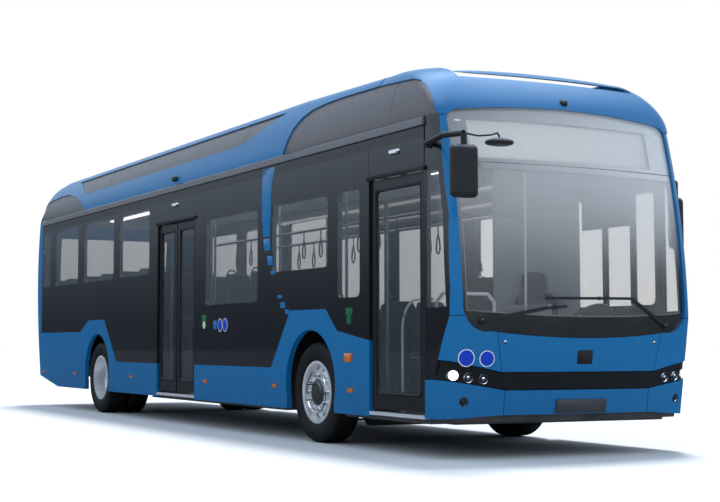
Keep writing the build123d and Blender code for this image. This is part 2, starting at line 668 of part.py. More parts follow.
with BuildPart() as front_panels:
    add(front_flap.part)
    add(front_bumper.part)
    add(front_corners.part)
    front_prism(lamp_discs((FOG_LAMP,), 0.0), Mode.SUBTRACT)
keep(front_panels, "front_panels")

with BuildPart() as lamp_band:
    add(end_block(LOWER_SECTIONS, FRONT_SPLIT, BOW_R, BAND_SET, True))
    add(end_block(LOWER_SECTIONS, FRONT_SPLIT, BOW_R, FRONT_SKIN, True), mode=Mode.SUBTRACT)
    front_prism(front_polygon((both_sides(LAMP_BAND_HALF),)), Mode.INTERSECT)
    side_prism((QUARTER_LOW,), Mode.SUBTRACT)
keep(lamp_band, "lamp_band")

with BuildPart() as quarter_low:
    add(lower_shell.part)
    side_prism((QUARTER_LOW,), Mode.INTERSECT)

with BuildPart() as quarter_panels:
    add(upper_shell.part)
    side_prism((QUARTER_HIGH,), Mode.INTERSECT)
    side_prism((QUARTER_WINDOW,), Mode.SUBTRACT)
    add(quarter_low.part)
    front_prism(windscreen_face(GLASS_GAP), Mode.SUBTRACT)
keep(quarter_panels, "quarter_panels")

with BuildPart() as quarter_glass:
    add(end_block(UPPER_SECTIONS, CAP_BACK, BOW_R, PANE_SET, False))
    add(end_block(UPPER_SECTIONS, CAP_BACK, BOW_R, PANE_SET + PANE_THICK, False), mode=Mode.SUBTRACT)
    side_prism((QUARTER_WINDOW,), Mode.INTERSECT)

PILLAR_LOW_Z = LOWER_TOP_Z + SHUT_LINE
PILLAR_TOP_Z = GUTTER_Z - SHUT_LINE
PILLAR_ZONE = ((FRONT_SPLIT, PILLAR_LOW_Z), (FRONT_OVERHANG, PILLAR_LOW_Z), (FRONT_OVERHANG, PILLAR_TOP_Z),
               (FRONT_SPLIT, PILLAR_TOP_Z))
with BuildPart() as front_pillars:
    add(upper_shell.part)
    side_prism((PILLAR_ZONE,), Mode.INTERSECT)
    side_prism((QUARTER_HIGH,), Mode.SUBTRACT)
    front_prism(windscreen_face(GLASS_GAP), Mode.SUBTRACT)
keep(front_pillars, "front_pillars")

SIGN_CUT = ((-EDGE, SIGN_SPLIT_Z), (EDGE, SIGN_SPLIT_Z), (EDGE, SIGN_SPLIT_Z + SHUT_LINE),
            (-EDGE, SIGN_SPLIT_Z + SHUT_LINE))
with BuildPart() as windscreen:
    add(end_block(UPPER_SECTIONS, CAP_BACK, BOW_R, GLASS_SET, False))
    add(end_block(UPPER_SECTIONS, CAP_BACK, BOW_R, GLASS_SET + GLASS_THICK, False), mode=Mode.SUBTRACT)
    front_prism(windscreen_face(0.0), Mode.INTERSECT)
    front_prism(front_polygon((SIGN_CUT,)), Mode.SUBTRACT)
keep(windscreen, "windscreen")

# Rear end
with BuildPart() as tail_shell:
    add(end_block(TAIL_SECTIONS, REAR_SPLIT, TAIL_BOW_R, 0.0, False))
    add(end_block(TAIL_SECTIONS, REAR_SPLIT, TAIL_BOW_R, WALL, False), mode=Mode.SUBTRACT)


def rear_face(half, low, top):
    """Rear view rectangle on a plane ahead of the tail."""
    with BuildSketch(Plane.YZ.offset(fx(REAR_SPLIT))) as face:
        with Locations((0.0, (low + top) / 2)):
            Rectangle(2 * half, top - low)
    return face.sketch


TAIL_DEPTH = 400.0
HATCH_AXIS_Z = HATCH_TOP_Z - HATCH_GAP / 2
with BuildPart() as rear_wall:
    add(tail_shell.part)
    extrude(rear_face(HATCH_HALF, HATCH_LOW_Z, HATCH_HEAD_Z), amount=-TAIL_DEPTH, mode=Mode.SUBTRACT)
    extrude(rear_face(REAR_PANE_HALF, REAR_PANE_LOW_Z, REAR_PANE_TOP_Z), amount=-TAIL_DEPTH,
            mode=Mode.SUBTRACT)
keep(rear_wall, "rear_wall")

with BuildPart() as rear_hatch:
    add(tail_shell.part)
    extrude(rear_face(HATCH_HALF - HATCH_GAP, HATCH_LOW_Z + HATCH_GAP, HATCH_TOP_Z - HATCH_GAP),
            amount=-TAIL_DEPTH, mode=Mode.INTERSECT)
    with Locations(*[(fx(HATCH_HINGE_X), y, HATCH_AXIS_Z) for y in HATCH_HINGE_YS]):
        Cylinder(HATCH_HEAD_Z - HATCH_AXIS_Z - SEAT_FIT, HATCH_HINGE_LENGTH, rotation=(90.0, 0.0, 0.0))
keep(rear_hatch, "rear_hatch")

with BuildPart() as rear_window:
    add(end_block(TAIL_SECTIONS, REAR_SPLIT, TAIL_BOW_R, PANE_SET, False))
    add(end_block(TAIL_SECTIONS, REAR_SPLIT, TAIL_BOW_R, PANE_SET + PANE_THICK, False), mode=Mode.SUBTRACT)
    extrude(rear_face(REAR_PANE_HALF - SEAT_FIT, REAR_PANE_LOW_Z + SEAT_FIT, REAR_PANE_TOP_Z - SEAT_FIT),
            amount=-TAIL_DEPTH, mode=Mode.INTERSECT)

with BuildPart() as window_glass:
    add(side_glass.part)
    add(quarter_glass.part)
    add(rear_window.part)
keep(window_glass, "window_glass")

# Floor, raised rear platform, wheel boxes and rails
FLOOR_UNDER = FLOOR_Z - FLOOR_THICK
FLOOR_NOSE = 2230.0
FLOOR_NOSE_HALF = 1080.0
JACK_LENGTH = 140.0
JACK_WIDTH = 80.0
JACK_DEPTH = 18.0
FRONT_JACK_X = -1500.0
FRONT_JACK_Y = 700.0
REAR_JACK_X = -5000.0


def jack_pad(x, y, top_z):
    """Plain pad under a floor or rail, on which a jack rests."""
    block(x - JACK_LENGTH / 2, x + JACK_LENGTH / 2, y - JACK_WIDTH / 2, y + JACK_WIDTH / 2,
          top_z - JACK_DEPTH, top_z)


with BuildPart() as underframe:
    block(PLATFORM_FRONT, FRONT_SPLIT, -WALL_IN, WALL_IN, FLOOR_UNDER, FLOOR_Z)
    block(FRONT_SPLIT, FLOOR_NOSE, -FLOOR_NOSE_HALF, FLOOR_NOSE_HALF, FLOOR_UNDER, FLOOR_Z)
    for side in (-1, 1):
        block(-BOX_HALF_LENGTH, BOX_HALF_LENGTH, *sorted((side * FRONT_BOX_IN_Y, side * HALF_WIDTH)),
              FLOOR_UNDER, FLOOR_Z, Mode.SUBTRACT)
        jack_pad(FRONT_JACK_X, side * FRONT_JACK_Y, FLOOR_UNDER)
keep(underframe, "underframe")

PLATFORM_END = REAR_SPLIT + WALL
PLATFORM_UNDER = PLATFORM_Z - PLATFORM_THICK
with BuildPart() as rear_platform:
    block(PLATFORM_END, PLATFORM_FRONT, -WALL_IN, WALL_IN, PLATFORM_UNDER, PLATFORM_Z)
    block(PLATFORM_FRONT - PLATFORM_THICK, PLATFORM_FRONT, -WALL_IN, WALL_IN, FLOOR_UNDER, PLATFORM_UNDER)
    for side in (-1, 1):
        block(-WHEELBASE - BOX_HALF_LENGTH, -WHEELBASE + BOX_HALF_LENGTH,
              *sorted((side * REAR_BOX_IN_Y, side * HALF_WIDTH)), PLATFORM_UNDER, PLATFORM_Z, Mode.SUBTRACT)
    block(PLATFORM_FRONT, PLATFORM_FRONT + STEP_DEPTH, -STEP_HALF, STEP_HALF, FLOOR_Z,
          (FLOOR_Z + PLATFORM_Z) / 2)
keep(rear_platform, "rear_platform")

with BuildPart() as wheel_boxes:
    for axle, inner, low in ((0.0, FRONT_BOX_IN_Y, FLOOR_UNDER), (-WHEELBASE, REAR_BOX_IN_Y, PLATFORM_UNDER)):
        for side in (-1, 1):
            block(axle - BOX_HALF_LENGTH, axle + BOX_HALF_LENGTH, *sorted((side * inner, side * WALL_IN)),
                  low, BOX_TOP_Z)
            block(axle - BOX_HALF_LENGTH + BOX_SKIN, axle + BOX_HALF_LENGTH - BOX_SKIN,
                  *sorted((side * (inner + BOX_SKIN), side * WALL_IN)), low, BOX_TOP_Z - BOX_SKIN, Mode.SUBTRACT)
keep(wheel_boxes, "wheel_boxes")

RAIL_UNDER = PLATFORM_UNDER - RAIL_HEIGHT
RAIL_END = -9050.0
with BuildPart() as chassis_rails:
    for side in (-1, 1):
        block(RAIL_END, PLATFORM_FRONT - PLATFORM_THICK, side * RAIL_Y - RAIL_WIDTH / 2,
              side * RAIL_Y + RAIL_WIDTH / 2, RAIL_UNDER, PLATFORM_UNDER)
        jack_pad(REAR_JACK_X, side * RAIL_Y, RAIL_UNDER)
keep(chassis_rails, "chassis_rails")

BATTERY_X = (-8980.0, -7250.0)
BATTERY_HALF = 1120.0
BATTERY_LOW_Z = 470.0
with BuildPart() as drive_battery:
    block(BATTERY_X[0], BATTERY_X[1], -BATTERY_HALF, BATTERY_HALF, BATTERY_LOW_Z, RAIL_UNDER)

ROOF_UNITS = ((-6900.0, -4900.0, 420.0), (-4800.0, -2800.0, 420.0), (-2700.0, -700.0, 420.0),
              (-450.0, 950.0, 380.0))
ROOF_UNIT_HALF = 800.0
with BuildPart() as battery_packs:
    for start, stop, height in ROOF_UNITS:
        block(start, stop, -ROOF_UNIT_HALF, ROOF_UNIT_HALF, GUTTER_Z, GUTTER_Z + height)
    add(drive_battery.part)
keep(battery_packs, "battery_packs")

SIGN_BOX = (1900.0, 2130.0)
SIGN_BOX_HALF = 1080.0
SIGN_BOX_LOW_Z = 2450.0
with BuildPart() as sign_box:
    block(SIGN_BOX[0], SIGN_BOX[1], -SIGN_BOX_HALF, SIGN_BOX_HALF, SIGN_BOX_LOW_Z, GUTTER_Z - DECK_THICK)

# Doors: each post turns its leaf inward on two arms, one over the leaf and one under it
LEAF_Y = -(HALF_WIDTH - LEAF_SET - LEAF_THICK / 2)
PIVOT_Y = LEAF_Y + PIVOT_OFFSET
POST_Y = PIVOT_Y + ARM_OFFSET
LEAF_LOW_Z = FLOOR_Z + LEAF_FLOOR_GAP
LEAF_TOP_Z = DOOR_TOP_Z - LEAF_TOP_GAP
ARM_LEVELS = (LEAF_LOW_Z - ARM_GAP - ARM_THICK, LEAF_TOP_Z + ARM_GAP)
HOUSING_LOW_Z = 2400.0
HOUSING_IN_Y = -1000.0
MID_LEAF = (MID_DOOR[1] - MID_DOOR[0] - 2 * LEAF_SIDE_GAP - LEAF_MEET_GAP) / 2
Leaf = namedtuple("Leaf", "name near far")
LEAVES = (
    Leaf("front", FRONT_DOOR[0] + LEAF_SIDE_GAP, FRONT_DOOR[1] - LEAF_SIDE_GAP),
    Leaf("mid_rear", MID_DOOR[0] + LEAF_SIDE_GAP, MID_DOOR[0] + LEAF_SIDE_GAP + MID_LEAF),
    Leaf("mid_front", MID_DOOR[1] - LEAF_SIDE_GAP, MID_DOOR[1] - LEAF_SIDE_GAP - MID_LEAF),
)
for leaf in LEAVES:
    way = 1.0 if leaf.far > leaf.near else -1.0
    pivot_x = (leaf.near + leaf.far) / 2
    post_x = leaf.near - way * POST_TO_LEAF
    low_x, high_x = sorted((leaf.near, leaf.far))
    with BuildPart() as leaf_frame:
        block(low_x, high_x, LEAF_Y - LEAF_THICK / 2, LEAF_Y + LEAF_THICK / 2, LEAF_LOW_Z, LEAF_TOP_Z)
        block(low_x + LEAF_STILE, high_x - LEAF_STILE, LEAF_Y - LEAF_THICK, LEAF_Y + LEAF_THICK,
              LEAF_LOW_Z + LEAF_RAIL_LOW, LEAF_TOP_Z - LEAF_RAIL_HIGH, Mode.SUBTRACT)
        for bracket_z, pin_z in ((LEAF_LOW_Z, ARM_LEVELS[0]), (LEAF_TOP_Z - BRACKET_THICK, LEAF_TOP_Z)):
            block(pivot_x - BRACKET_WIDTH / 2, pivot_x + BRACKET_WIDTH / 2, LEAF_Y,
                  PIVOT_Y + BRACKET_THICK, bracket_z, bracket_z + BRACKET_THICK)
            with Locations((fx(pivot_x), PIVOT_Y, pin_z)):
                Cylinder(PIVOT_PIN_R, ARM_GAP + ARM_THICK, align=(Align.CENTER, Align.CENTER, Align.MIN))
    keep(leaf_frame, "leaf_" + leaf.name)
    with BuildPart() as leaf_glass:
        block(low_x + LEAF_STILE + SEAT_FIT, high_x - LEAF_STILE - SEAT_FIT, LEAF_Y - LEAF_GLASS,
              LEAF_Y - SEAT_FIT, LEAF_LOW_Z + LEAF_RAIL_LOW + SEAT_FIT, LEAF_TOP_Z - LEAF_RAIL_HIGH - SEAT_FIT)
    keep(leaf_glass, "leaf_" + leaf.name + "_glass")
    arm_end = Vector(fx(pivot_x), PIVOT_Y)
    arm_root = Vector(fx(post_x), POST_Y)
    with BuildPart() as post:
        with Locations((fx(post_x), POST_Y, FLOOR_Z + SEAT_FIT)):
            Cylinder(POST_R, HOUSING_LOW_Z - FLOOR_Z - 2 * SEAT_FIT,
                     align=(Align.CENTER, Align.CENTER, Align.MIN))
        for level in ARM_LEVELS:
            with BuildSketch(Plane.XY.offset(level)):
                make_hull(edges=[Edge.make_circle(ARM_WIDTH / 2, Plane((p.X, p.Y, 0.0)))
                                 for p in (arm_root, arm_end)])
                with Locations((arm_end.X, arm_end.Y)):
                    Circle(PIVOT_PIN_R + PIVOT_CLEAR, mode=Mode.SUBTRACT)
            extrude(amount=ARM_THICK)
    keep(post, "post_" + leaf.name)

with BuildPart() as header_housings:
    add(sign_box.part)
    block(FRONT_DOOR[0] - WALL, SIGN_BOX[0] - SHUT_LINE, -WALL_IN, HOUSING_IN_Y, HOUSING_LOW_Z,
          GUTTER_Z - DECK_THICK)
    block(MID_DOOR[0] - WALL, MID_DOOR[1] + WALL, -WALL_IN, HOUSING_IN_Y, HOUSING_LOW_Z, GUTTER_Z - DECK_THICK)
keep(header_housings, "header_housings")

with BuildPart() as door_sills:
    for low_x, high_x in (FRONT_DOOR, MID_DOOR):
        block(low_x, high_x, -HALF_WIDTH, -WALL_IN, FLOOR_Z - SILL_HEIGHT, FLOOR_Z)
keep(door_sills, "door_sills")

# Seats, x of the back of each cushion from the front axle
SEAT_OUT = 1190.0
SEAT_IN = 390.0
CUSHION_DEPTH = 430.0
CUSHION_THICK = 90.0
SEAT_RISE = 440.0
BACK_THICK = 55.0
BACK_HEIGHT = 620.0
BACK_LEAN = 85.0
BENCH_X = -8850.0
FOOT_INSET = 120.0
ROWS = ((-1310.0, FLOOR_Z, (-1, 1), FLOOR_Z), (-2110.0, FLOOR_Z, (-1, 1), FLOOR_Z),
        (-4900.0, PLATFORM_Z, (-1, 1), PLATFORM_Z), (-5720.0, PLATFORM_Z, (-1, 1), PLATFORM_Z),
        (-6480.0, PLATFORM_Z, (-1, 1), BOX_TOP_Z), (-7300.0, PLATFORM_Z, (-1, 1), PLATFORM_Z),
        (-8080.0, PLATFORM_Z, (-1, 1), PLATFORM_Z))
FOOT_LENGTH = 200.0
with BuildPart() as seat_cushions:
    for seat_x, floor_z, sides, foot_z in ROWS:
        for side in sides:
            low_y, high_y = sorted((side * SEAT_IN, side * SEAT_OUT))
            top_z = floor_z + SEAT_RISE
            block(seat_x, seat_x + CUSHION_DEPTH, low_y, high_y, top_z - CUSHION_THICK, top_z)
            block(seat_x, seat_x + FOOT_LENGTH, low_y + FOOT_INSET + (side > 0) * FOOT_INSET,
                  high_y - FOOT_INSET - (side < 0) * FOOT_INSET, foot_z, top_z - CUSHION_THICK)
    block(BENCH_X, BENCH_X + CUSHION_DEPTH, -SEAT_OUT, SEAT_OUT, PLATFORM_Z, PLATFORM_Z + SEAT_RISE)
keep(seat_cushions, "seat_cushions")

with BuildPart() as seat_backs:
    for seat_x, floor_z, sides, foot_z in ROWS + ((BENCH_X, PLATFORM_Z, (0,), PLATFORM_Z),):
        for side in sides:
            low_y, high_y = sorted((side * SEAT_IN, side * SEAT_OUT)) if side else (-SEAT_OUT, SEAT_OUT)
            top_z = floor_z + SEAT_RISE
            with BuildSketch(Plane.XZ.offset(-high_y)):
                polygon([(fx(x), z) for x, z in (
                    (seat_x, top_z - CUSHION_THICK), (seat_x, top_z),
                    (seat_x - BACK_LEAN, top_z + BACK_HEIGHT),
                    (seat_x - BACK_LEAN - BACK_THICK, top_z + BACK_HEIGHT),
                    (seat_x - BACK_THICK, top_z - CUSHION_THICK))])
            extrude(amount=high_y - low_y)
keep(seat_backs, "seat_backs")

# Driver's place
DRIVER_Y = 640.0
DRIVER_SEAT_X = 1080.0
DRIVER_SEAT_HALF = 240.0
DRIVER_SEAT_Z = 900.0
DRIVER_BACK_HEIGHT = 720.0
with BuildPart() as driver_seat:
    block(DRIVER_SEAT_X, DRIVER_SEAT_X + CUSHION_DEPTH, DRIVER_Y - DRIVER_SEAT_HALF, DRIVER_Y + DRIVER_SEAT_HALF,
          FLOOR_Z, DRIVER_SEAT_Z)
    with BuildSketch(Plane.XZ.offset(-DRIVER_Y - DRIVER_SEAT_HALF)):
        polygon([(fx(x), z) for x, z in (
            (DRIVER_SEAT_X, DRIVER_SEAT_Z - CUSHION_THICK), (DRIVER_SEAT_X, DRIVER_SEAT_Z),
            (DRIVER_SEAT_X - BACK_LEAN, DRIVER_SEAT_Z + DRIVER_BACK_HEIGHT),
            (DRIVER_SEAT_X - BACK_LEAN - BACK_THICK, DRIVER_SEAT_Z + DRIVER_BACK_HEIGHT),
            (DRIVER_SEAT_X - BACK_THICK, DRIVER_SEAT_Z - CUSHION_THICK))])
    extrude(amount=2 * DRIVER_SEAT_HALF)
keep(driver_seat, "driver_seat")

DASH_HALF = 1050.0
DASH_PROFILE = ((2230.0, FLOOR_Z), (2300.0, 1010.0), (2150.0, 1060.0), (1990.0, 1040.0), (1960.0, 930.0),
                (2080.0, 840.0), (2100.0, FLOOR_Z))
with BuildPart() as dashboard:
    with BuildSketch(Plane.XZ.offset(-DASH_HALF)):
        polygon([(fx(x), z) for x, z in DASH_PROFILE])
    extrude(amount=2 * DASH_HALF)
keep(dashboard, "dashboard")

WHEEL_X = 1800.0
WHEEL_Z = 1130.0
WHEEL_TILT = 45.0
WHEEL_R = 225.0
WHEEL_GRIP_R = 15.0
WHEEL_HUB_R = 60.0
SPOKE_WIDTH = 40.0
COLUMN_R = 38.0
COLUMN_LENGTH = 265.0
with BuildPart() as steering_wheel:
    with Locations(Plane((fx(WHEEL_X), DRIVER_Y, WHEEL_Z)).rotated((0.0, WHEEL_TILT - 90.0, 0.0))):
        Torus(WHEEL_R, WHEEL_GRIP_R)
        Cylinder(WHEEL_HUB_R, 2 * WHEEL_GRIP_R)
        Box(SPOKE_WIDTH, 2 * WHEEL_R, WHEEL_GRIP_R)
        Cylinder(COLUMN_R, COLUMN_LENGTH, align=(Align.CENTER, Align.CENTER, Align.MAX))
    add(dashboard.part, mode=Mode.SUBTRACT)
keep(steering_wheel, "steering_wheel")

SCREEN_X = 900.0
SCREEN_THICK = 35.0
SCREEN_IN_Y = 220.0
SCREEN_HIGH_Z = 2150.0
CAB_GATE_Z = 1300.0
CAB_GATE_END = 1750.0
with BuildPart() as driver_screen:
    block(SCREEN_X, SCREEN_X + SCREEN_THICK, SCREEN_IN_Y, WALL_IN, FLOOR_Z, SCREEN_HIGH_Z)
    block(SCREEN_X + SCREEN_THICK + SHUT_LINE, CAB_GATE_END, SCREEN_IN_Y, SCREEN_IN_Y + SCREEN_THICK, FLOOR_Z,
          CAB_GATE_Z)
keep(driver_screen, "driver_screen")

# Poles and ceiling rails
POLE_R = 16.0
POLE_Y = 455.0
POLE_XS = (-4215.0, -2700.0, -760.0, 760.0)
RAIL_TUBE_Z = 2180.0
RAIL_TUBE_R = 16.0
CEILING_Z = GUTTER_Z - DECK_THICK
with BuildPart() as handrails:
    for side in (-1, 1):
        for pole_x in POLE_XS:
            with Locations((fx(pole_x), side * POLE_Y, FLOOR_Z)):
                Cylinder(POLE_R, CEILING_Z - FLOOR_Z, align=(Align.CENTER, Align.CENTER, Align.MIN))
        with Locations((fx((POLE_XS[0] + POLE_XS[-1]) / 2), side * (POLE_Y - POLE_R - RAIL_TUBE_R - SEAT_FIT),
                        RAIL_TUBE_Z)):
            Cylinder(RAIL_TUBE_R, POLE_XS[-1] - POLE_XS[0], rotation=(0.0, 90.0, 0.0))
keep(handrails, "handrails")

# Front axle, knuckles and tie rod
AXLE_Z = TYRE_R
BEAM_LOW_Z = 150.0
BEAM_TOP_Z = 250.0
BEAM_HALF_DEPTH = 50.0
LINK_Y = 440.0
LINK_WIDTH = 60.0
LINK_HEIGHT = 30.0
LINK_LENGTH = 560.0
LINK_PAD = 100.0
EYE_LOW_Z = AXLE_Z - AXLE_EYE_HEIGHT / 2
EYE_TOP_Z = AXLE_Z + AXLE_EYE_HEIGHT / 2
LUG_LOW_Z = AXLE_Z - KNUCKLE_HEIGHT / 2
LUG_TOP_Z = AXLE_Z + KNUCKLE_HEIGHT / 2
BEAM_NECK_Y = KINGPIN_Y - AXLE_EYE_R + BEAM_HALF_DEPTH / 4
BEAM_HALF = ((0.0, BEAM_LOW_Z), (620.0, BEAM_LOW_Z), (790.0, EYE_LOW_Z), (BEAM_NECK_Y, EYE_LOW_Z),
             (BEAM_NECK_Y, EYE_TOP_Z), (760.0, EYE_TOP_Z), (580.0, BEAM_TOP_Z), (0.0, BEAM_TOP_Z))
with BuildPart() as front_axle:
    with BuildSketch(Plane.YZ.offset(FRONT_AXLE_X - BEAM_HALF_DEPTH)):
        polygon(both_sides(BEAM_HALF))
    extrude(amount=2 * BEAM_HALF_DEPTH)
    for side in (-1, 1):
        with Locations((FRONT_AXLE_X, side * KINGPIN_Y, AXLE_Z)):
            Cylinder(AXLE_EYE_R, AXLE_EYE_HEIGHT)
            Cylinder(KINGPIN_R + KINGPIN_CLEAR, AXLE_EYE_HEIGHT, mode=Mode.SUBTRACT)
        block(-LINK_LENGTH, 0.0, side * LINK_Y - LINK_WIDTH / 2, side * LINK_Y + LINK_WIDTH / 2,
              BEAM_TOP_Z - LINK_HEIGHT, BEAM_TOP_Z)
        block(-LINK_LENGTH, LINK_PAD - LINK_LENGTH, side * LINK_Y - LINK_WIDTH / 2, side * LINK_Y + LINK_WIDTH / 2,
              BEAM_TOP_Z, FLOOR_UNDER)

WEB_Y = KINGPIN_Y + AXLE_EYE_R + WHEEL_GAP
WEB_THICK = 40.0
WEB_HALF = 55.0
SPINDLE_END_Y = 1170.0
ARM_LOW_Z = 217.0
DROP_R = 35.0
TIE_Z = 197.0
TIE_EYE_HEIGHT = 32.0
PIN_LOW_Z = 178.0
for side, name in ((-1, "right"), (1, "left")):
    pin_y = side * KINGPIN_Y
    with BuildPart() as knuckle:
        for low_z, high_z in ((LUG_LOW_Z, EYE_LOW_Z - KINGPIN_CLEAR), (EYE_TOP_Z + KINGPIN_CLEAR, LUG_TOP_Z)):
            with Locations((FRONT_AXLE_X, pin_y, low_z)):
                Cylinder(AXLE_EYE_R, high_z - low_z, align=(Align.CENTER, Align.CENTER, Align.MIN))
            block(-WEB_HALF, WEB_HALF, *sorted((pin_y, side * (WEB_Y + WEB_THICK))), low_z, high_z)
        block(-WEB_HALF, WEB_HALF, *sorted((side * WEB_Y, side * (WEB_Y + WEB_THICK))), LUG_LOW_Z, LUG_TOP_Z)
        with Locations((FRONT_AXLE_X, pin_y, LUG_LOW_Z)):
            Cylinder(KINGPIN_R, KNUCKLE_HEIGHT, align=(Align.CENTER, Align.CENTER, Align.MIN))
        with Locations((FRONT_AXLE_X, side * (WEB_Y + SPINDLE_END_Y) / 2, AXLE_Z)):
            Cylinder(SPINDLE_R, SPINDLE_END_Y - WEB_Y, rotation=(90.0, 0.0, 0.0))
        with Locations((FRONT_AXLE_X, pin_y, ARM_LOW_Z)):
            Cylinder(DROP_R, LUG_LOW_Z - ARM_LOW_Z, align=(Align.CENTER, Align.CENTER, Align.MIN))
        with BuildSketch(Plane.XY.offset(ARM_LOW_Z)):
            with Locations((FRONT_AXLE_X - STEER_ARM / 2, pin_y)):
                SlotCenterToCenter(STEER_ARM, STEER_ARM_WIDTH)
        extrude(amount=STEER_ARM_THICK)
        with Locations((FRONT_AXLE_X - STEER_ARM, pin_y, PIN_LOW_Z)):
            Cylinder(TIE_PIN_R, ARM_LOW_Z - PIN_LOW_Z, align=(Align.CENTER, Align.CENTER, Align.MIN))
    keep(knuckle, "knuckle_" + name)

with BuildPart() as tie_rod:
    with Locations((FRONT_AXLE_X - STEER_ARM, 0.0, TIE_Z)):
        Cylinder(TIE_ROD_R / 2, 2 * KINGPIN_Y, rotation=(90.0, 0.0, 0.0))
    for side in (-1, 1):
        with Locations((FRONT_AXLE_X - STEER_ARM, side * KINGPIN_Y, TIE_Z)):
            Cylinder(TIE_EYE_R, TIE_EYE_HEIGHT)
            Cylinder(TIE_PIN_R + TIE_CLEAR, TIE_EYE_HEIGHT, mode=Mode.SUBTRACT)
keep(tie_rod, "tie_rod")

# Rear axle with wheel motors, arms and air springs
REAR_BEAM_R = 95.0
REAR_SPINDLE_END = 960.0
MOTOR_IN_Y = 620.0
with BuildPart() as rear_axle:
    with Locations((REAR_AXLE_X, 0.0, AXLE_Z)):
        Cylinder(REAR_BEAM_R, 2 * MOTOR_IN_Y, rotation=(90.0, 0.0, 0.0))
        Cylinder(REAR_HUB_R, 2 * REAR_SPINDLE_END, rotation=(90.0, 0.0, 0.0))
    for side in (-1, 1):
        with Locations((REAR_AXLE_X, side * (MOTOR_IN_Y + MOTOR_LENGTH / 2), AXLE_Z)):
            Cylinder(MOTOR_R, MOTOR_LENGTH, rotation=(90.0, 0.0, 0.0))
        block(-WHEELBASE - REAR_SPRING_X, -WHEELBASE + REAR_SPRING_X, side * RAIL_Y - REAR_ARM_WIDTH / 2,
              side * RAIL_Y + REAR_ARM_WIDTH / 2, AXLE_Z - REAR_ARM_HEIGHT / 2, AXLE_Z + REAR_ARM_HEIGHT / 2)
        for way in (-1, 1):
            with Locations((REAR_AXLE_X + way * REAR_SPRING_X, side * RAIL_Y, AXLE_Z - REAR_ARM_HEIGHT / 2)):
                Cylinder(SPRING_R, RAIL_UNDER - AXLE_Z + REAR_ARM_HEIGHT / 2,
                         align=(Align.CENTER, Align.CENTER, Align.MIN))

with BuildPart() as axles:
    add(front_axle.part)
    add(rear_axle.part)
keep(axles, "axles")

# Wheels
RIM_HALF = 121.0
FLANGE_IN = 107.0
BEAD_HALF = 106.0
SIDEWALL_R = 378.0
SHOULDER_R = 447.0
SHOULDER_HALF = 126.0
TREAD_HALF = 98.0
TREAD_DROP = 5.0
SHOULDER_MID_R = 467.0
SHOULDER_MID_HALF = 118.0
RIM_BED_R = TYRE_BEAD_R - SEAT_FIT
HUB_R = 130.0
HUB_SHOULDER_R = 134.0
DISC_STEP_R = 205.0
HOLE_RING_R = 236.0


def wheel_plane(axle_x, centre_y, out):
    """Plane through a wheel: radius along x, outward along the axle."""
    return Plane((axle_x, centre_y, AXLE_Z), x_dir=(1.0, 0.0, 0.0), z_dir=(0.0, 0.0, out))


def tyre_half():
    """Tyre section with a bead seat, bulged sidewalls, round shoulders and a crowned tread."""
    with BuildLine() as outline:
        Line((TYRE_BEAD_R, -BEAD_HALF), (RIM_FLANGE_R + SEAT_FIT, -BEAD_HALF))
        ThreePointArc((RIM_FLANGE_R + SEAT_FIT, -BEAD_HALF), (SIDEWALL_R, -TYRE_WIDTH / 2),
                      (SHOULDER_R, -SHOULDER_HALF))
        ThreePointArc((SHOULDER_R, -SHOULDER_HALF), (SHOULDER_MID_R, -SHOULDER_MID_HALF),
                      (TYRE_R - TREAD_DROP, -TREAD_HALF))
        ThreePointArc((TYRE_R - TREAD_DROP, -TREAD_HALF), (TYRE_R, 0.0), (TYRE_R - TREAD_DROP, TREAD_HALF))
        ThreePointArc((TYRE_R - TREAD_DROP, TREAD_HALF), (SHOULDER_MID_R, SHOULDER_MID_HALF),
                      (SHOULDER_R, SHOULDER_HALF))
        ThreePointArc((SHOULDER_R, SHOULDER_HALF), (SIDEWALL_R, TYRE_WIDTH / 2),
                      (RIM_FLANGE_R + SEAT_FIT, BEAD_HALF))
        Line((RIM_FLANGE_R + SEAT_FIT, BEAD_HALF), (TYRE_BEAD_R, BEAD_HALF))
        Line((TYRE_BEAD_R, BEAD_HALF), (TYRE_BEAD_R, -BEAD_HALF))
    make_face(outline.edges())


def rim_section(disc):
    """Rim section: bed, two flanges and a disc given as its outer face points from rim to hub."""
    bed_in = RIM_BED_R - RIM_WALL
    polygon(((bed_in, -RIM_HALF), (RIM_FLANGE_R, -RIM_HALF), (RIM_FLANGE_R, -FLANGE_IN), (RIM_BED_R, -FLANGE_IN),
             (RIM_BED_R, FLANGE_IN), (RIM_FLANGE_R, FLANGE_IN), (RIM_FLANGE_R, RIM_HALF), (bed_in, RIM_HALF)))
    polygon(disc)


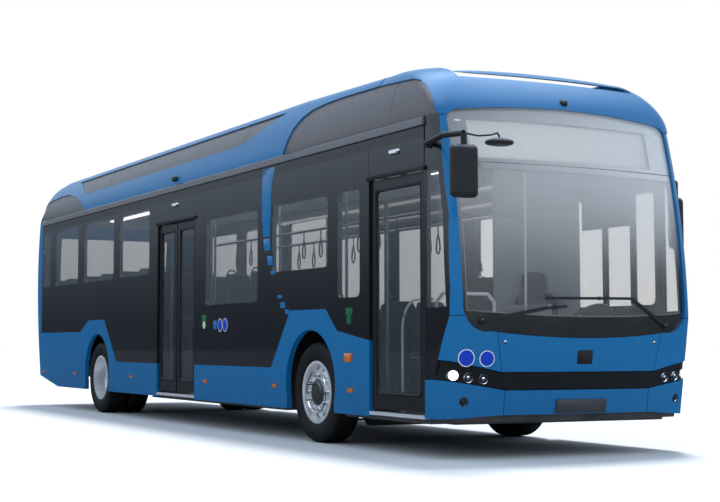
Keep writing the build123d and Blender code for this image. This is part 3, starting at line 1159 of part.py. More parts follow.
FRONT_DISC = ((RIM_BED_R - RIM_WALL / 2, 40.0), (RIM_BED_R - RIM_WALL / 2, 15.0), (DISC_STEP_R, 60.0),
              (HUB_R, 62.0), (HUB_R, -30.0), (SPINDLE_R + HUB_CLEAR, -30.0), (SPINDLE_R + HUB_CLEAR, 105.0),
              (HUB_R, 105.0), (HUB_SHOULDER_R, 88.0), (DISC_STEP_R, 86.0))
TWIN_HALF = TWIN_SPACING / 2
REAR_DISC = ((RIM_BED_R - RIM_WALL / 2, -20.0), (RIM_BED_R - RIM_WALL / 2, -50.0), (DISC_STEP_R, -TWIN_HALF),
             (REAR_HUB_R + HUB_CLEAR, -TWIN_HALF), (REAR_HUB_R + HUB_CLEAR, -TWIN_HALF + DISC_THICK / 2),
             (DISC_STEP_R, -TWIN_HALF + DISC_THICK / 2))
for side, name in ((-1, "right"), (1, "left")):
    centre_y = side * FRONT_TRACK / 2
    with BuildPart() as tyre_front:
        with BuildSketch(wheel_plane(FRONT_AXLE_X, centre_y, side)):
            tyre_half()
        revolve(axis=Axis((FRONT_AXLE_X, centre_y, AXLE_Z), (0.0, 1.0, 0.0)))
    keep(tyre_front, "tyre_front_" + name)
    with BuildPart() as rim_front:
        with BuildSketch(wheel_plane(FRONT_AXLE_X, centre_y, side)):
            rim_section(FRONT_DISC)
        revolve(axis=Axis((FRONT_AXLE_X, centre_y, AXLE_Z), (0.0, 1.0, 0.0)))
        with BuildSketch(Plane((FRONT_AXLE_X, centre_y, AXLE_Z), x_dir=(1.0, 0.0, 0.0), z_dir=(0.0, side, 0.0))):
            with PolarLocations(HOLE_RING_R, HOLE_COUNT):
                Circle(HOLE_R)
        extrude(amount=RIM_HALF, mode=Mode.SUBTRACT)
    keep(rim_front, "rim_front_" + name)
    with BuildPart() as tyres_rear:
        for way in (-1, 1):
            twin_y = side * REAR_TRACK / 2 + way * TWIN_HALF
            with BuildSketch(wheel_plane(REAR_AXLE_X, twin_y, side)):
                tyre_half()
            revolve(axis=Axis((REAR_AXLE_X, twin_y, AXLE_Z), (0.0, 1.0, 0.0)))
    keep(tyres_rear, "tyres_rear_" + name)
    with BuildPart() as rims_rear:
        for way in (-1, 1):
            twin_y = side * REAR_TRACK / 2 + way * side * TWIN_HALF
            with BuildSketch(wheel_plane(REAR_AXLE_X, twin_y, way * side)):
                rim_section(REAR_DISC)
            revolve(axis=Axis((REAR_AXLE_X, twin_y, AXLE_Z), (0.0, 1.0, 0.0)))
    keep(rims_rear, "rims_rear_" + name)

# Lamps
LAMP_OUT = 4.0
with BuildPart() as fog_lamps:
    add(end_block(LOWER_SECTIONS, FRONT_SPLIT, BOW_R, BAND_SET, True))
    add(end_block(LOWER_SECTIONS, FRONT_SPLIT, BOW_R, FRONT_SKIN, True), mode=Mode.SUBTRACT)
    front_prism(lamp_discs((FOG_LAMP,), SEAT_FIT), Mode.INTERSECT)

with BuildPart() as front_lamps:
    add(end_block(LOWER_SECTIONS, FRONT_SPLIT, BOW_R, BAND_SET - LAMP_OUT, True))
    add(end_block(LOWER_SECTIONS, FRONT_SPLIT, BOW_R, BAND_SET, True), mode=Mode.SUBTRACT)
    front_prism(lamp_discs(HEAD_LAMPS, 0.0), Mode.INTERSECT)
    add(fog_lamps.part)
keep(front_lamps, "front_lamps")

MARKER_XS = (-8930.0, -7360.0, -5000.0, -2565.0, -770.0, 810.0)
MARKER_Z = 520.0
MARKER_SIZE = (95.0, 38.0, 8.0)
with BuildPart() as side_markers:
    for side in (-1, 1):
        for marker_x in MARKER_XS:
            block(marker_x - MARKER_SIZE[0] / 2, marker_x + MARKER_SIZE[0] / 2,
                  *sorted((side * HALF_WIDTH, side * (HALF_WIDTH + MARKER_SIZE[2]))),
                  MARKER_Z - MARKER_SIZE[1] / 2, MARKER_Z + MARKER_SIZE[1] / 2)
keep(side_markers, "side_markers")

REAR_LAMP = (930.0, 1110.0, 700.0, 1350.0)
with BuildPart() as rear_lamps:
    add(end_block(TAIL_SECTIONS, REAR_SPLIT, TAIL_BOW_R, -LAMP_OUT, False))
    add(end_block(TAIL_SECTIONS, REAR_SPLIT, TAIL_BOW_R, 0.0, False), mode=Mode.SUBTRACT)
    with BuildSketch(Plane.YZ.offset(fx(REAR_SPLIT))):
        for side in (-1, 1):
            with Locations((side * (REAR_LAMP[0] + REAR_LAMP[1]) / 2, (REAR_LAMP[2] + REAR_LAMP[3]) / 2)):
                Rectangle(REAR_LAMP[1] - REAR_LAMP[0], REAR_LAMP[3] - REAR_LAMP[2])
    extrude(amount=-TAIL_DEPTH, mode=Mode.INTERSECT)
keep(rear_lamps, "rear_lamps")

# Wipers that follow the glass
WIPER_OUT = 22.0
WIPER_PIVOT_R = 30.0
WIPER_PIVOTS = ((-985.0, 1124.0), (900.0, 1096.0))
WIPER_ELBOWS = ((-413.0, 1232.0), (504.0, 1327.0))
WIPER_TIPS = ((-196.0, 1252.0), (-394.0, 1316.0))
WIPER_ARM = 28.0
WIPER_BLADE = 22.0


def wiper_bar(start, stop, width):
    polygon(((start[0], start[1] - width / 2), (stop[0], stop[1] - width / 2),
             (stop[0], stop[1] + width / 2), (start[0], start[1] + width / 2)))


with BuildPart() as wipers:
    add(end_block(UPPER_SECTIONS, CAP_BACK, BOW_R, GLASS_SET - WIPER_OUT, False))
    add(end_block(UPPER_SECTIONS, CAP_BACK, BOW_R, GLASS_SET - SEAT_FIT, False), mode=Mode.SUBTRACT)
    with BuildSketch(Plane.YZ.offset(fx(CAP_BACK))):
        for pivot, elbow, tip in zip(WIPER_PIVOTS, WIPER_ELBOWS, WIPER_TIPS):
            wiper_bar(pivot, elbow, WIPER_ARM)
            wiper_bar(elbow, tip, WIPER_BLADE)
            with Locations(pivot):
                Circle(WIPER_PIVOT_R)
    extrude(amount=FRONT_OVERHANG, mode=Mode.INTERSECT)
    front_prism(windscreen_face(0.0), Mode.INTERSECT)
keep(wipers, "wipers")

# Mirrors
MIRROR_OUT = 1420.0
RIGHT_MIRROR_IN = 1180.0
LEFT_MIRROR_IN = 1282.0
MIRROR_DEPTH = 100.0
MIRROR_ROUND = 44.0
MIRROR_ARM_R = 25.0
MIRROR_TIP = FRONT_OVERHANG + MIRROR_REACH
RIGHT_MIRROR_Z = (2085.0, 2510.0)
LEFT_MIRROR_Z = (1800.0, 2270.0)
LEFT_MIRROR_TIP = 2200.0
RIGHT_ARM = ((2150.0, -1298.0, 2590.0), (2480.0, -1345.0, 2612.0), (2710.0, -1300.0, 2600.0),
             (2710.0, -1300.0, 2450.0))
LEFT_ARM = ((2150.0, 1298.0, 2420.0), (2150.0, 1351.0, 2400.0), (2150.0, 1351.0, 2200.0))
MIRROR_FOOT_R = 36.0
MIRROR_FOOT_OUT = 30.0
with BuildPart() as foot_bars:
    with BuildSketch(Plane.XZ):
        with Locations((fx(RIGHT_ARM[0][0]), RIGHT_ARM[0][2])):
            Circle(MIRROR_FOOT_R)
    extrude(amount=BODY_WIDTH)
    with BuildSketch(Plane.XZ):
        with Locations((fx(LEFT_ARM[0][0]), LEFT_ARM[0][2])):
            Circle(MIRROR_FOOT_R)
    extrude(amount=-BODY_WIDTH)

with BuildPart() as mirror_feet:
    add(end_block(UPPER_SECTIONS, CAP_BACK, BOW_R, -MIRROR_FOOT_OUT, False))
    add(end_block(UPPER_SECTIONS, CAP_BACK, BOW_R, -SEAT_FIT, False), mode=Mode.SUBTRACT)
    add(foot_bars.part, mode=Mode.INTERSECT)

with BuildPart() as mirrors:
    block(MIRROR_TIP - MIRROR_DEPTH, MIRROR_TIP, -MIRROR_OUT, -RIGHT_MIRROR_IN, *RIGHT_MIRROR_Z)
    block(LEFT_MIRROR_TIP - MIRROR_DEPTH, LEFT_MIRROR_TIP, LEFT_MIRROR_IN, MIRROR_OUT, *LEFT_MIRROR_Z)
    fillet(mirrors.edges(), MIRROR_ROUND)
    for route in (RIGHT_ARM, LEFT_ARM):
        with BuildLine() as path:
            Polyline(*[(fx(x), y, z) for x, y, z in route])
        with BuildSketch(Plane(path.line @ 0, z_dir=path.line % 0)):
            Circle(MIRROR_ARM_R)
        sweep(path=path.line, transition=Transition.ROUND)
    add(mirror_feet.part)
keep(mirrors, "mirrors")

os.makedirs("parts", exist_ok=True)
for label, piece in pieces.items():
    export_step(piece, "parts/" + label + ".step")
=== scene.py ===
"""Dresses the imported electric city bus: finishes, tyres, seats, lamps, stripes and the studio."""

import json
import logging
import math
from dataclasses import dataclass
from enum import Enum
from functools import reduce

import bmesh
import bpy
import numpy as np
from mathutils import Matrix, Vector
from mathutils.bvhtree import BVHTree


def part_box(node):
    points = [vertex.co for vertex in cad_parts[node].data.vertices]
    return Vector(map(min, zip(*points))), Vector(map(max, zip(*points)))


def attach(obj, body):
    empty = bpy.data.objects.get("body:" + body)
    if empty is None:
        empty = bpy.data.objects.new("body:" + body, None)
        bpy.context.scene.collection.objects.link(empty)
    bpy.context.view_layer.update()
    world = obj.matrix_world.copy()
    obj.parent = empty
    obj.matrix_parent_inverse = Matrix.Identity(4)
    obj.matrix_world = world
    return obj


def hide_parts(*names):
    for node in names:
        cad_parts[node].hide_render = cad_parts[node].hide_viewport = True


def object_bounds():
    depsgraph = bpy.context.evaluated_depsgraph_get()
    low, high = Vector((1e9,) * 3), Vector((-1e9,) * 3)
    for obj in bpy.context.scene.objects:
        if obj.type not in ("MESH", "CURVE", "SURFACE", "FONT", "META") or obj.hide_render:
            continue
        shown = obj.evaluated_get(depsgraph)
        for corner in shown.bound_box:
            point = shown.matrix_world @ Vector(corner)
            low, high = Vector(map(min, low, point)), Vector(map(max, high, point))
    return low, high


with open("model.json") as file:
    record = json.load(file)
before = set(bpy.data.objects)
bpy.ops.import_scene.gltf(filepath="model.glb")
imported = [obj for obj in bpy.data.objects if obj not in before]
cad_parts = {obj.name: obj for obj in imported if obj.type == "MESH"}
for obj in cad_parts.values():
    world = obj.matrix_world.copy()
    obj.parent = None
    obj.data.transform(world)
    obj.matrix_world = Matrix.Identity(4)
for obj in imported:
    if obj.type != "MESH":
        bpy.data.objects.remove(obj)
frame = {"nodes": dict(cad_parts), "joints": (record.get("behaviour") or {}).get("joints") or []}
CAD_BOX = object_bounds()

LOG = logging.getLogger("bus")
JOINTS = {joint["name"]: joint for joint in frame["joints"]}
FRONT_AXLE_X = JOINTS["spin_front_right"]["pos_m"][0]
AXLE_Z = JOINTS["spin_front_right"]["pos_m"][2]
SIDE_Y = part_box("skirts")[1].y
BODY = "bus_body"
FORWARD, LEFT, UP = np.eye(3)
Colour = tuple[float, float, float]
Socket = bpy.types.NodeSocket
Tree = bpy.types.NodeTree


class Side(Enum):
    """The two sides of the bus, as the sign of y."""

    RIGHT = -1
    LEFT = 1


def ahead(distance: float | np.ndarray) -> float | np.ndarray:
    """Frame x of a point given by its distance ahead of the front axle."""
    return FRONT_AXLE_X + distance


class Graph:
    """Adds and wires nodes of one node tree."""

    def __init__(self, tree: Tree) -> None:
        """Keeps the tree that the nodes go into."""
        self.tree = tree

    def add(self, kind: str, inputs: dict | None = None, **settings: object) -> bpy.types.Node:
        """Adds a node.

        Args:
            kind: Blender's name of the node type.
            inputs: Socket name or index to a value, to an opaque colour, or to a socket to link from.
            settings: Properties of the node.

        Returns:
            The node.
        """
        node = self.tree.nodes.new(kind)
        for name, value in settings.items():
            setattr(node, name, value)
        for name, value in (inputs or {}).items():
            if isinstance(value, Socket):
                self.tree.links.new(value, node.inputs[name])
            else:
                node.inputs[name].default_value = (*value, 1.0) if isinstance(value, tuple) else value
        return node

    def math(self, operation: str, first: object, second: object = 0.0) -> Socket:
        """Result of a math node on two values or sockets."""
        return self.add("ShaderNodeMath", {0: first, 1: second}, operation=operation).outputs[0]

    def times(self, *factors: object) -> Socket:
        """Product of values or sockets."""
        return reduce(lambda first, second: self.math("MULTIPLY", first, second), factors)

    def step(self, value: object, start: float, stop: float) -> Socket:
        """Smooth mask that rises from 0 at start to 1 at stop."""
        return self.add("ShaderNodeMapRange", {"Value": value, "From Min": start, "From Max": stop},
                        interpolation_type="SMOOTHSTEP").outputs["Result"]

    def span(self, value: object, low: float, high: float, soft: float) -> Socket:
        """Mask that is 1 from low to high and fades to 0 within soft beyond them."""
        return self.times(self.step(value, low - soft, low), self.step(value, high + soft, high))

    def mix(self, share: object, first: object, second: object) -> Socket:
        """Colour mixed from the first to the second by the share."""
        return self.add("ShaderNodeMix", {0: share, 6: first, 7: second}, data_type="RGBA").outputs[2]

    def place(self) -> Socket:
        """Object coordinates of the shaded point."""
        return self.add("ShaderNodeTexCoord").outputs["Object"]

    def axes(self) -> bpy.types.NodeOutputs:
        """Separate X, Y and Z of the Object coordinates."""
        return self.add("ShaderNodeSeparateXYZ", {0: self.place()}).outputs


def node_group(name: str, inputs: dict[str, float], outputs: tuple[str, ...]) -> tuple[Tree, Graph]:
    """New shader node group with named float sockets.

    Args:
        name: The group's name.
        inputs: Input name to its default value.
        outputs: Output names.

    Returns:
        The group and a graph that adds nodes to it.
    """
    tree = bpy.data.node_groups.new(name, "ShaderNodeTree")
    for label, value in inputs.items():
        tree.interface.new_socket(label, in_out="INPUT", socket_type="NodeSocketFloat").default_value = value
    for label in outputs:
        tree.interface.new_socket(label, in_out="OUTPUT", socket_type="NodeSocketFloat")
    return tree, Graph(tree)


def grain_group() -> Tree:
    """Fine grain: one noise for colour and gloss, and a finer one for height.

    Returns:
        The node group.
    """
    tree, graph = node_group("fine_grain", {"Scale": 30.0}, ("Value", "Height"))
    scale = graph.add("NodeGroupInput").outputs["Scale"]
    place = graph.place()
    broad = graph.add("ShaderNodeTexNoise", {"Vector": place, "Scale": scale, "Detail": 4.0})
    finer = graph.times(scale, 7.0)
    fine = graph.add("ShaderNodeTexNoise", {"Vector": place, "Scale": finer, "Detail": 2.0})
    graph.add("NodeGroupOutput", {"Value": broad.outputs[0], "Height": fine.outputs[0]})
    return tree


def film_group() -> Tree:
    """Road film: thickest at the ground, gone at the height Top, broken up by noise.

    Returns:
        The node group.
    """
    tree, graph = node_group("road_film", {"Top": 0.9, "Amount": 0.3}, ("Mask",))
    source = graph.add("NodeGroupInput").outputs
    fade = graph.add("ShaderNodeMapRange", {"Value": graph.axes()["Z"], "From Min": source["Top"], "From Max": 0.2})
    cloud = graph.add("ShaderNodeTexNoise", {"Vector": graph.place(), "Scale": 5.0, "Detail": 6.0})
    mask = graph.times(fade.outputs["Result"], cloud.outputs[0], source["Amount"])
    graph.add("NodeGroupOutput", {"Mask": mask})
    return tree


def weave_group() -> Tree:
    """Woven cloth: two crossed sets of threads, as wave bands along x and across y and z.

    Returns:
        The node group.
    """
    tree, graph = node_group("weave", {"Scale": 120.0}, ("Thread", "Height"))
    scale = graph.add("NodeGroupInput").outputs["Scale"]
    axes = graph.axes()
    ways = (axes["Y"], graph.math("ADD", axes["X"], axes["Z"]))
    thread = graph.times(*(graph.math("SINE", graph.times(way, scale, 2.0 * math.pi)) for way in ways))
    graph.add("NodeGroupOutput", {"Thread": graph.step(thread, -1.0, 1.0), "Height": thread})
    return tree


GRAIN = grain_group()
FILM = film_group()
WEAVE = weave_group()
MADE: dict["Finish", bpy.types.Material] = {}


@dataclass(frozen=True)
class Finish:
    """A solid finish: a colour that varies a little, with grained gloss and bump.

    The varied colour and roughness come from the fine grain group, and a road film lies over the lower part.
    """

    name: str
    colour: Colour
    roughness: float
    metallic: float = 0.0
    coat: float = 0.0
    coat_ior: float = 1.5
    specular: float = 0.5
    varied: float = 0.10
    gloss_varied: float = 0.06
    grain: float = 30.0
    bump: float = 0.02
    film: float = 0.0
    film_top: float = 0.9
    film_colour: Colour = (0.23, 0.22, 0.20)
    emission: float = 0.0

    def material(self) -> bpy.types.Material:
        """The Blender material of this finish, made once.

        Returns:
            The material.
        """
        if self not in MADE:
            MADE[self] = bpy.data.materials.new(f"finish_{self.name}")
            MADE[self].use_nodes = True
            MADE[self].node_tree.nodes.clear()
            self.wire(Graph(MADE[self].node_tree))
        return MADE[self]

    def shader(self, graph: Graph, inputs: dict) -> bpy.types.Node:
        """Principled shader with this finish's constants and the given inputs, wired to the output.

        Args:
            graph: The material's graph.
            inputs: Socket name to a value or socket, over the constants.

        Returns:
            The shader node.
        """
        constants = {"Metallic": self.metallic, "Coat Weight": self.coat, "Coat Roughness": 0.02,
                     "Coat IOR": self.coat_ior, "Specular IOR Level": self.specular}
        glow = {"Emission Strength": self.emission, "Emission Color": self.colour} if self.emission > 0.0 else {}
        shader = graph.add("ShaderNodeBsdfPrincipled", {**constants, **glow, **inputs})
        graph.add("ShaderNodeOutputMaterial", {"Surface": shader.outputs[0]})
        return shader

    def grained(self, graph: Graph, colour: object) -> dict:
        """Inputs of a grained surface.

        Args:
            graph: The material's graph.
            colour: Base colour, or a socket with it.

        Returns:
            Base Color, Roughness and Normal for the shader.
        """
        grain = graph.add("ShaderNodeGroup", {"Scale": self.grain}, node_tree=GRAIN)
        darker = graph.times(grain.outputs["Value"], self.varied * 2.0)
        shaded = graph.mix(darker, colour, tuple(0.45 * part for part in self.colour))
        if self.film > 0.0:
            film = graph.add("ShaderNodeGroup", {"Top": self.film_top, "Amount": self.film}, node_tree=FILM)
            shaded = graph.mix(film.outputs["Mask"], shaded, self.film_colour)
        spread = graph.add("ShaderNodeMapRange", {
            "Value": grain.outputs["Value"], "To Min": max(0.0, self.roughness - self.gloss_varied),
            "To Max": self.roughness + self.gloss_varied})
        bump = graph.add("ShaderNodeBump", {"Height": grain.outputs["Height"], "Strength": self.bump,
                                            "Distance": 0.002})
        return {"Base Color": shaded, "Roughness": spread.outputs["Result"], "Normal": bump.outputs[0]}

    def wire(self, graph: Graph) -> None:
        """Wires the material's nodes."""
        self.shader(graph, self.grained(graph, self.colour))


@dataclass(frozen=True)
class Pane(Finish):
    """Tinted glass: each face stops its tint and what it mirrors, and shows that share as coated glass."""

    tint: float = 0.12

    def cover(self, graph: Graph, tint: object) -> Socket:
        """Share of light that a face stops.

        Args:
            graph: The material's graph.
            tint: Share stopped by the tint, or a socket with it.

        Returns:
            The tint's share, plus what the face mirrors of the rest.
        """
        facing = graph.add("ShaderNodeLayerWeight", {"Blend": 0.5}).outputs["Facing"]
        mirror = graph.math("ADD", graph.times(graph.math("POWER", facing, 5.0), 0.96), 0.04)
        clear = graph.times(graph.math("SUBTRACT", 1.0, mirror), graph.math("SUBTRACT", 1.0, tint))
        return graph.math("SUBTRACT", 1.0, clear)

    def wire(self, graph: Graph) -> None:
        """Wires a see-through principled shader."""
        self.shader(graph, {**self.grained(graph, self.colour), "Alpha": self.cover(graph, self.tint)})


@dataclass(frozen=True)
class Screen(Pane):
    """Windscreen glass whose pale colour is a painted sky reflection that thickens upwards and towards the left side,
    with a dark print round its edge and the sign.
    """

    print_low: float = 1.17
    print_rise: float = 0.035
    print_edge: float = 1.105
    print_colour: Colour = (0.006, 0.006, 0.007)
    sign_low: tuple[float, float] = (-0.970, 2.478)
    sign_high: tuple[float, float] = (0.900, 2.805)
    sign_border: float = 0.095
    # Painted sky reflection: the pale share grows between these two heights, is larger on the left side and is larger
    # over the print.
    painted_sky_low: float = 1.42
    painted_sky_high: float = 2.48
    painted_sky: float = 0.33
    painted_sky_lean: float = 0.13
    painted_sky_on_print: float = 1.6
    soft: float = 0.006

    def printed(self, graph: Graph, y: Socket, z: Socket) -> Socket:
        """Mask of the print: below a line that rises with the square of y, at the edges and round the sign.

        Args:
            graph: The material's graph.
            y: Width of the shaded point.
            z: Its height.

        Returns:
            1 on the print and 0 on clear glass.
        """
        bowed = graph.math("SUBTRACT", z, graph.times(y, y, self.print_rise))
        low = graph.step(bowed, self.print_low + self.soft, self.print_low - self.soft)
        edge = graph.step(graph.math("ABSOLUTE", y), self.print_edge - self.soft, self.print_edge + self.soft)
        above = graph.step(z, self.sign_low[1] - self.sign_border, self.sign_low[1] - self.sign_border + self.soft)
        window = graph.times(*(graph.span(axis, first, last, self.soft)
                               for axis, first, last in zip((y, z), self.sign_low, self.sign_high)))
        surround = graph.times(above, graph.math("SUBTRACT", 1.0, window))
        return graph.math("MAXIMUM", graph.math("MAXIMUM", low, edge), surround)

    def wire(self, graph: Graph) -> None:
        """Wires the glass with its painted sky reflection, a pale share that also makes the glass more opaque, over
        the print too.

        Args:
            graph: The material's graph.
        """
        axes = graph.axes()
        y, z = axes["Y"], axes["Z"]
        printed = self.printed(graph, y, z)
        # Painted sky reflection: a pale share that grows upwards and to the left, lightens the print and raises the
        # cover.
        painted_sky_full = graph.math("ADD", graph.times(y, self.painted_sky_lean), self.painted_sky)
        painted_sky = graph.times(graph.step(z, self.painted_sky_low, self.painted_sky_high), painted_sky_full)
        print_under_painted_sky = graph.mix(graph.times(painted_sky, self.painted_sky_on_print), self.print_colour, self.colour)
        surface = self.grained(graph, graph.mix(printed, self.colour, print_under_painted_sky))
        cover = self.cover(graph, graph.math("ADD", painted_sky, self.tint))
        self.shader(graph, {**surface, "Alpha": graph.math("MAXIMUM", printed, cover)})


@dataclass(frozen=True)
class DoorPane(Pane):
    """Door glass with a dark print above and below its clear part."""

    print_low: float = 0.525
    print_top: float = 2.190
    print_colour: Colour = (0.012, 0.012, 0.014)
    soft: float = 0.004

    def wire(self, graph: Graph) -> None:
        """Wires the glass with the print as a mask over height.

        Args:
            graph: The material's graph.
        """
        z = graph.axes()["Z"]
        above = graph.step(z, self.print_top - self.soft, self.print_top + self.soft)
        below = graph.step(z, self.print_low + self.soft, self.print_low - self.soft)
        printed = graph.math("MAXIMUM", above, below)
        surface = self.grained(graph, graph.mix(printed, self.colour, self.print_colour))
        self.shader(graph, {**surface, "Alpha": graph.math("MAXIMUM", printed, self.cover(graph, self.tint))})


@dataclass(frozen=True)
class Gutter(Finish):
    """Black side panel with a satin gutter along its top, between two dark joint lines."""

    strip_low: float = 2.755
    strip_top: float = 2.835
    strip_colour: Colour = (0.125, 0.125, 0.140)
    line: float = 0.007

    def wire(self, graph: Graph) -> None:
        """Wires the strip and its lines as masks over height.

        Args:
            graph: The material's graph.
        """
        z = graph.axes()["Z"]
        strip = graph.step(z, self.strip_low - 0.002, self.strip_low + 0.002)
        gaps = (graph.math("ABSOLUTE", graph.math("SUBTRACT", z, edge)) for edge in (self.strip_low, self.strip_top))
        lines = graph.step(graph.math("MINIMUM", *gaps), self.line * 1.3, self.line)
        lit = graph.mix(strip, self.colour, self.strip_colour)
        self.shader(graph, self.grained(graph, graph.mix(lines, lit, self.colour)))


@dataclass(frozen=True)
class Wall(Finish):
    """Body paint that turns into a grey lining on the inner faces of the side panels."""

    inner: Colour = (0.13, 0.135, 0.145)
    inner_y: float = 1.2225
    inner_x: float = 5.60
    inner_top: float = 1.45
    blend: float = 0.001

    def wire(self, graph: Graph) -> None:
        """Wires the lining as a mask over place: at the inner plane, between the ends and below the windows.

        Args:
            graph: The material's graph.
        """
        axes = graph.axes()
        side = graph.step(graph.math("ABSOLUTE", axes["Y"]), self.inner_y + self.blend, self.inner_y - self.blend)
        ends = graph.step(graph.math("ABSOLUTE", axes["X"]), self.inner_x + self.blend, self.inner_x)
        low = graph.step(axes["Z"], self.inner_top + self.blend, self.inner_top)
        inside = graph.mix(graph.times(side, ends, low), self.colour, self.inner)
        self.shader(graph, self.grained(graph, inside))


@dataclass(frozen=True)
class Ground(Finish):
    """Pale floor that shows darker in mirror images, so that the sides stay deep in colour."""

    mirrored: Colour = (0.050, 0.056, 0.065)

    def wire(self, graph: Graph) -> None:
        """Wires the floor with a darker colour for glossy rays."""
        glossy = graph.add("ShaderNodeLightPath").outputs["Is Glossy Ray"]
        self.shader(graph, self.grained(graph, graph.mix(glossy, self.colour, self.mirrored)))


@dataclass(frozen=True)
class Cloth(Finish):
    """Woven seat cloth: threads vary colour and height."""

    thread: float = 190.0
    fleck: Colour = (0.05, 0.09, 0.20)

    def wire(self, graph: Graph) -> None:
        """Wires a cloth shader with sheen.

        Args:
            graph: The material's graph.
        """
        weave = graph.add("ShaderNodeGroup", {"Scale": self.thread}, node_tree=WEAVE)
        share = graph.times(weave.outputs["Thread"], 0.55)
        inputs = self.grained(graph, graph.mix(share, self.colour, self.fleck))
        bump = graph.add("ShaderNodeBump", {"Height": weave.outputs["Height"], "Strength": 0.35, "Distance": 0.001})
        shader = self.shader(graph, {**inputs, "Normal": bump.outputs[0]})
        shader.inputs["Sheen Weight"].default_value = 0.25


PAINT = Wall("body_paint", (0.001, 0.146, 0.365), 0.32, coat=0.35, specular=0.3, varied=0.05, gloss_varied=0.03,
             grain=9.0, bump=0.015, film=0.03, film_top=0.7)
BAND = Finish("band_black", (0.008, 0.008, 0.010), 0.16, coat=1.0, gloss_varied=0.03, grain=6.0, bump=0.008)
GUTTER = Gutter("rail_grey", (0.008, 0.008, 0.010), 0.22, coat=0.6, varied=0.08, gloss_varied=0.03, grain=6.0,
                bump=0.008)
ROOF_PANEL = Finish("panel_dark", (0.105, 0.100, 0.108), 0.36, coat=0.15, grain=16.0, bump=0.03)
ROOF_METAL = Finish("roof_metal", (0.42, 0.44, 0.46), 0.45, grain=5.0)
CHASSIS = Finish("chassis", (0.020, 0.020, 0.022), 0.62, varied=0.15, grain=14.0, bump=0.15, film=0.5)
LINING = Finish("lining", (0.34, 0.35, 0.37), 0.55, varied=0.08, grain=60.0, bump=0.12)
FLOOR_COVER = Finish("floor_cover", (0.10, 0.105, 0.115), 0.60, varied=0.20, grain=90.0, bump=0.12)
SILL = Finish("sill_bright", (0.76, 0.77, 0.79), 0.30, metallic=0.3, varied=0.06, grain=80.0, bump=0.04)
STEEL = Finish("rail_steel", (0.60, 0.61, 0.63), 0.24, metallic=0.9, varied=0.04, grain=60.0)
GRAB_WHITE = Finish("grab_white", (0.66, 0.67, 0.68), 0.35, coat=0.5, varied=0.05, grain=60.0)
CLOTH = Cloth("seat_cloth", (0.020, 0.023, 0.030), 0.85, varied=0.15, grain=40.0)
PLASTIC = Finish("black_plastic", (0.016, 0.016, 0.018), 0.42, varied=0.12, grain=140.0, bump=0.10)
DASH = Finish("dash_grey", (0.075, 0.078, 0.085), 0.55, grain=160.0, bump=0.12)
LAMP_CLEAR = Pane("lamp_clear", (0.30, 0.31, 0.32), 0.04, coat=1.0, varied=0.02, bump=0.0, tint=0.22)
LAMP_LIT = Finish("lamp_lit", (1.0, 0.97, 0.92), 0.2, varied=0.03, emission=6.0)
LAMP_RED = Finish("lamp_red", (0.42, 0.012, 0.012), 0.12, coat=1.0, varied=0.05, grain=220.0, bump=0.15)
LAMP_AMBER = Finish("lamp_amber", (0.62, 0.15, 0.008), 0.16, coat=1.0, varied=0.05, grain=260.0, bump=0.15)
RUBBER = Finish("tyre_rubber", (0.009, 0.009, 0.010), 0.72, specular=0.3, varied=0.18, grain=26.0, bump=0.25,
                film=0.05)
SEAL = Finish("seal_rubber", (0.012, 0.012, 0.013), 0.55, grain=70.0, bump=0.06)
RIM = Finish("rim_metal", (0.80, 0.81, 0.83), 0.30, metallic=0.4, varied=0.06, grain=34.0, bump=0.04)
HUB_DARK = Finish("hub_dark", (0.10, 0.10, 0.105), 0.40, metallic=0.6, varied=0.12, grain=40.0, bump=0.05)
CHROME = Finish("chrome", (0.80, 0.81, 0.83), 0.09, metallic=1.0, varied=0.03, bump=0.0)
DOOR = Finish("door_black", (0.012, 0.012, 0.014), 0.30, coat=0.5, grain=22.0)
PANE = Pane("pane", (0.150, 0.180, 0.198), 0.06, coat=1.0, coat_ior=3.0, varied=0.08, gloss_varied=0.02, grain=3.0,
            bump=0.004, tint=0.22)
DOOR_PANE = DoorPane("door_pane", (0.085, 0.105, 0.115), 0.06, coat=1.0, coat_ior=3.0, varied=0.08,
                     gloss_varied=0.02, grain=3.0, bump=0.004, tint=0.22)
# The screen's near-white colour is the painted sky reflection, shown by the share that grows upwards.
SCREEN = Screen("screen", (0.88, 0.88, 0.87), 0.05, coat=1.0, coat_ior=1.7, varied=0.05, gloss_varied=0.02, grain=2.0,
                bump=0.003, tint=0.02)
SIGN_FACE = Finish("sign_face", (0.66, 0.65, 0.62), 0.45, varied=0.05, grain=3.0, bump=0.0, emission=0.16)
CEILING_LIGHT = Finish("ceiling_light", (1.0, 0.98, 0.94), 0.3, varied=0.03, emission=2.4)
DISC_BLUE = Finish("disc_blue", (0.001, 0.045, 0.50), 0.40, specular=0.2, varied=0.04)
DISC_WHITE = Finish("disc_white", (0.78, 0.79, 0.80), 0.35, varied=0.03)
DISC_PALE = Finish("disc_pale", (0.55, 0.62, 0.42), 0.40, varied=0.06)
DISC_GREEN = Finish("disc_green", (0.006, 0.130, 0.045), 0.45, specular=0.2, varied=0.05)
GROUND = Ground("floor", (0.82, 0.82, 0.82), 0.8, specular=0.0, varied=0.01, bump=0.0)
PLATE = Finish("plate_blank", (0.050, 0.054, 0.062), 0.40, varied=0.05, grain=50.0)


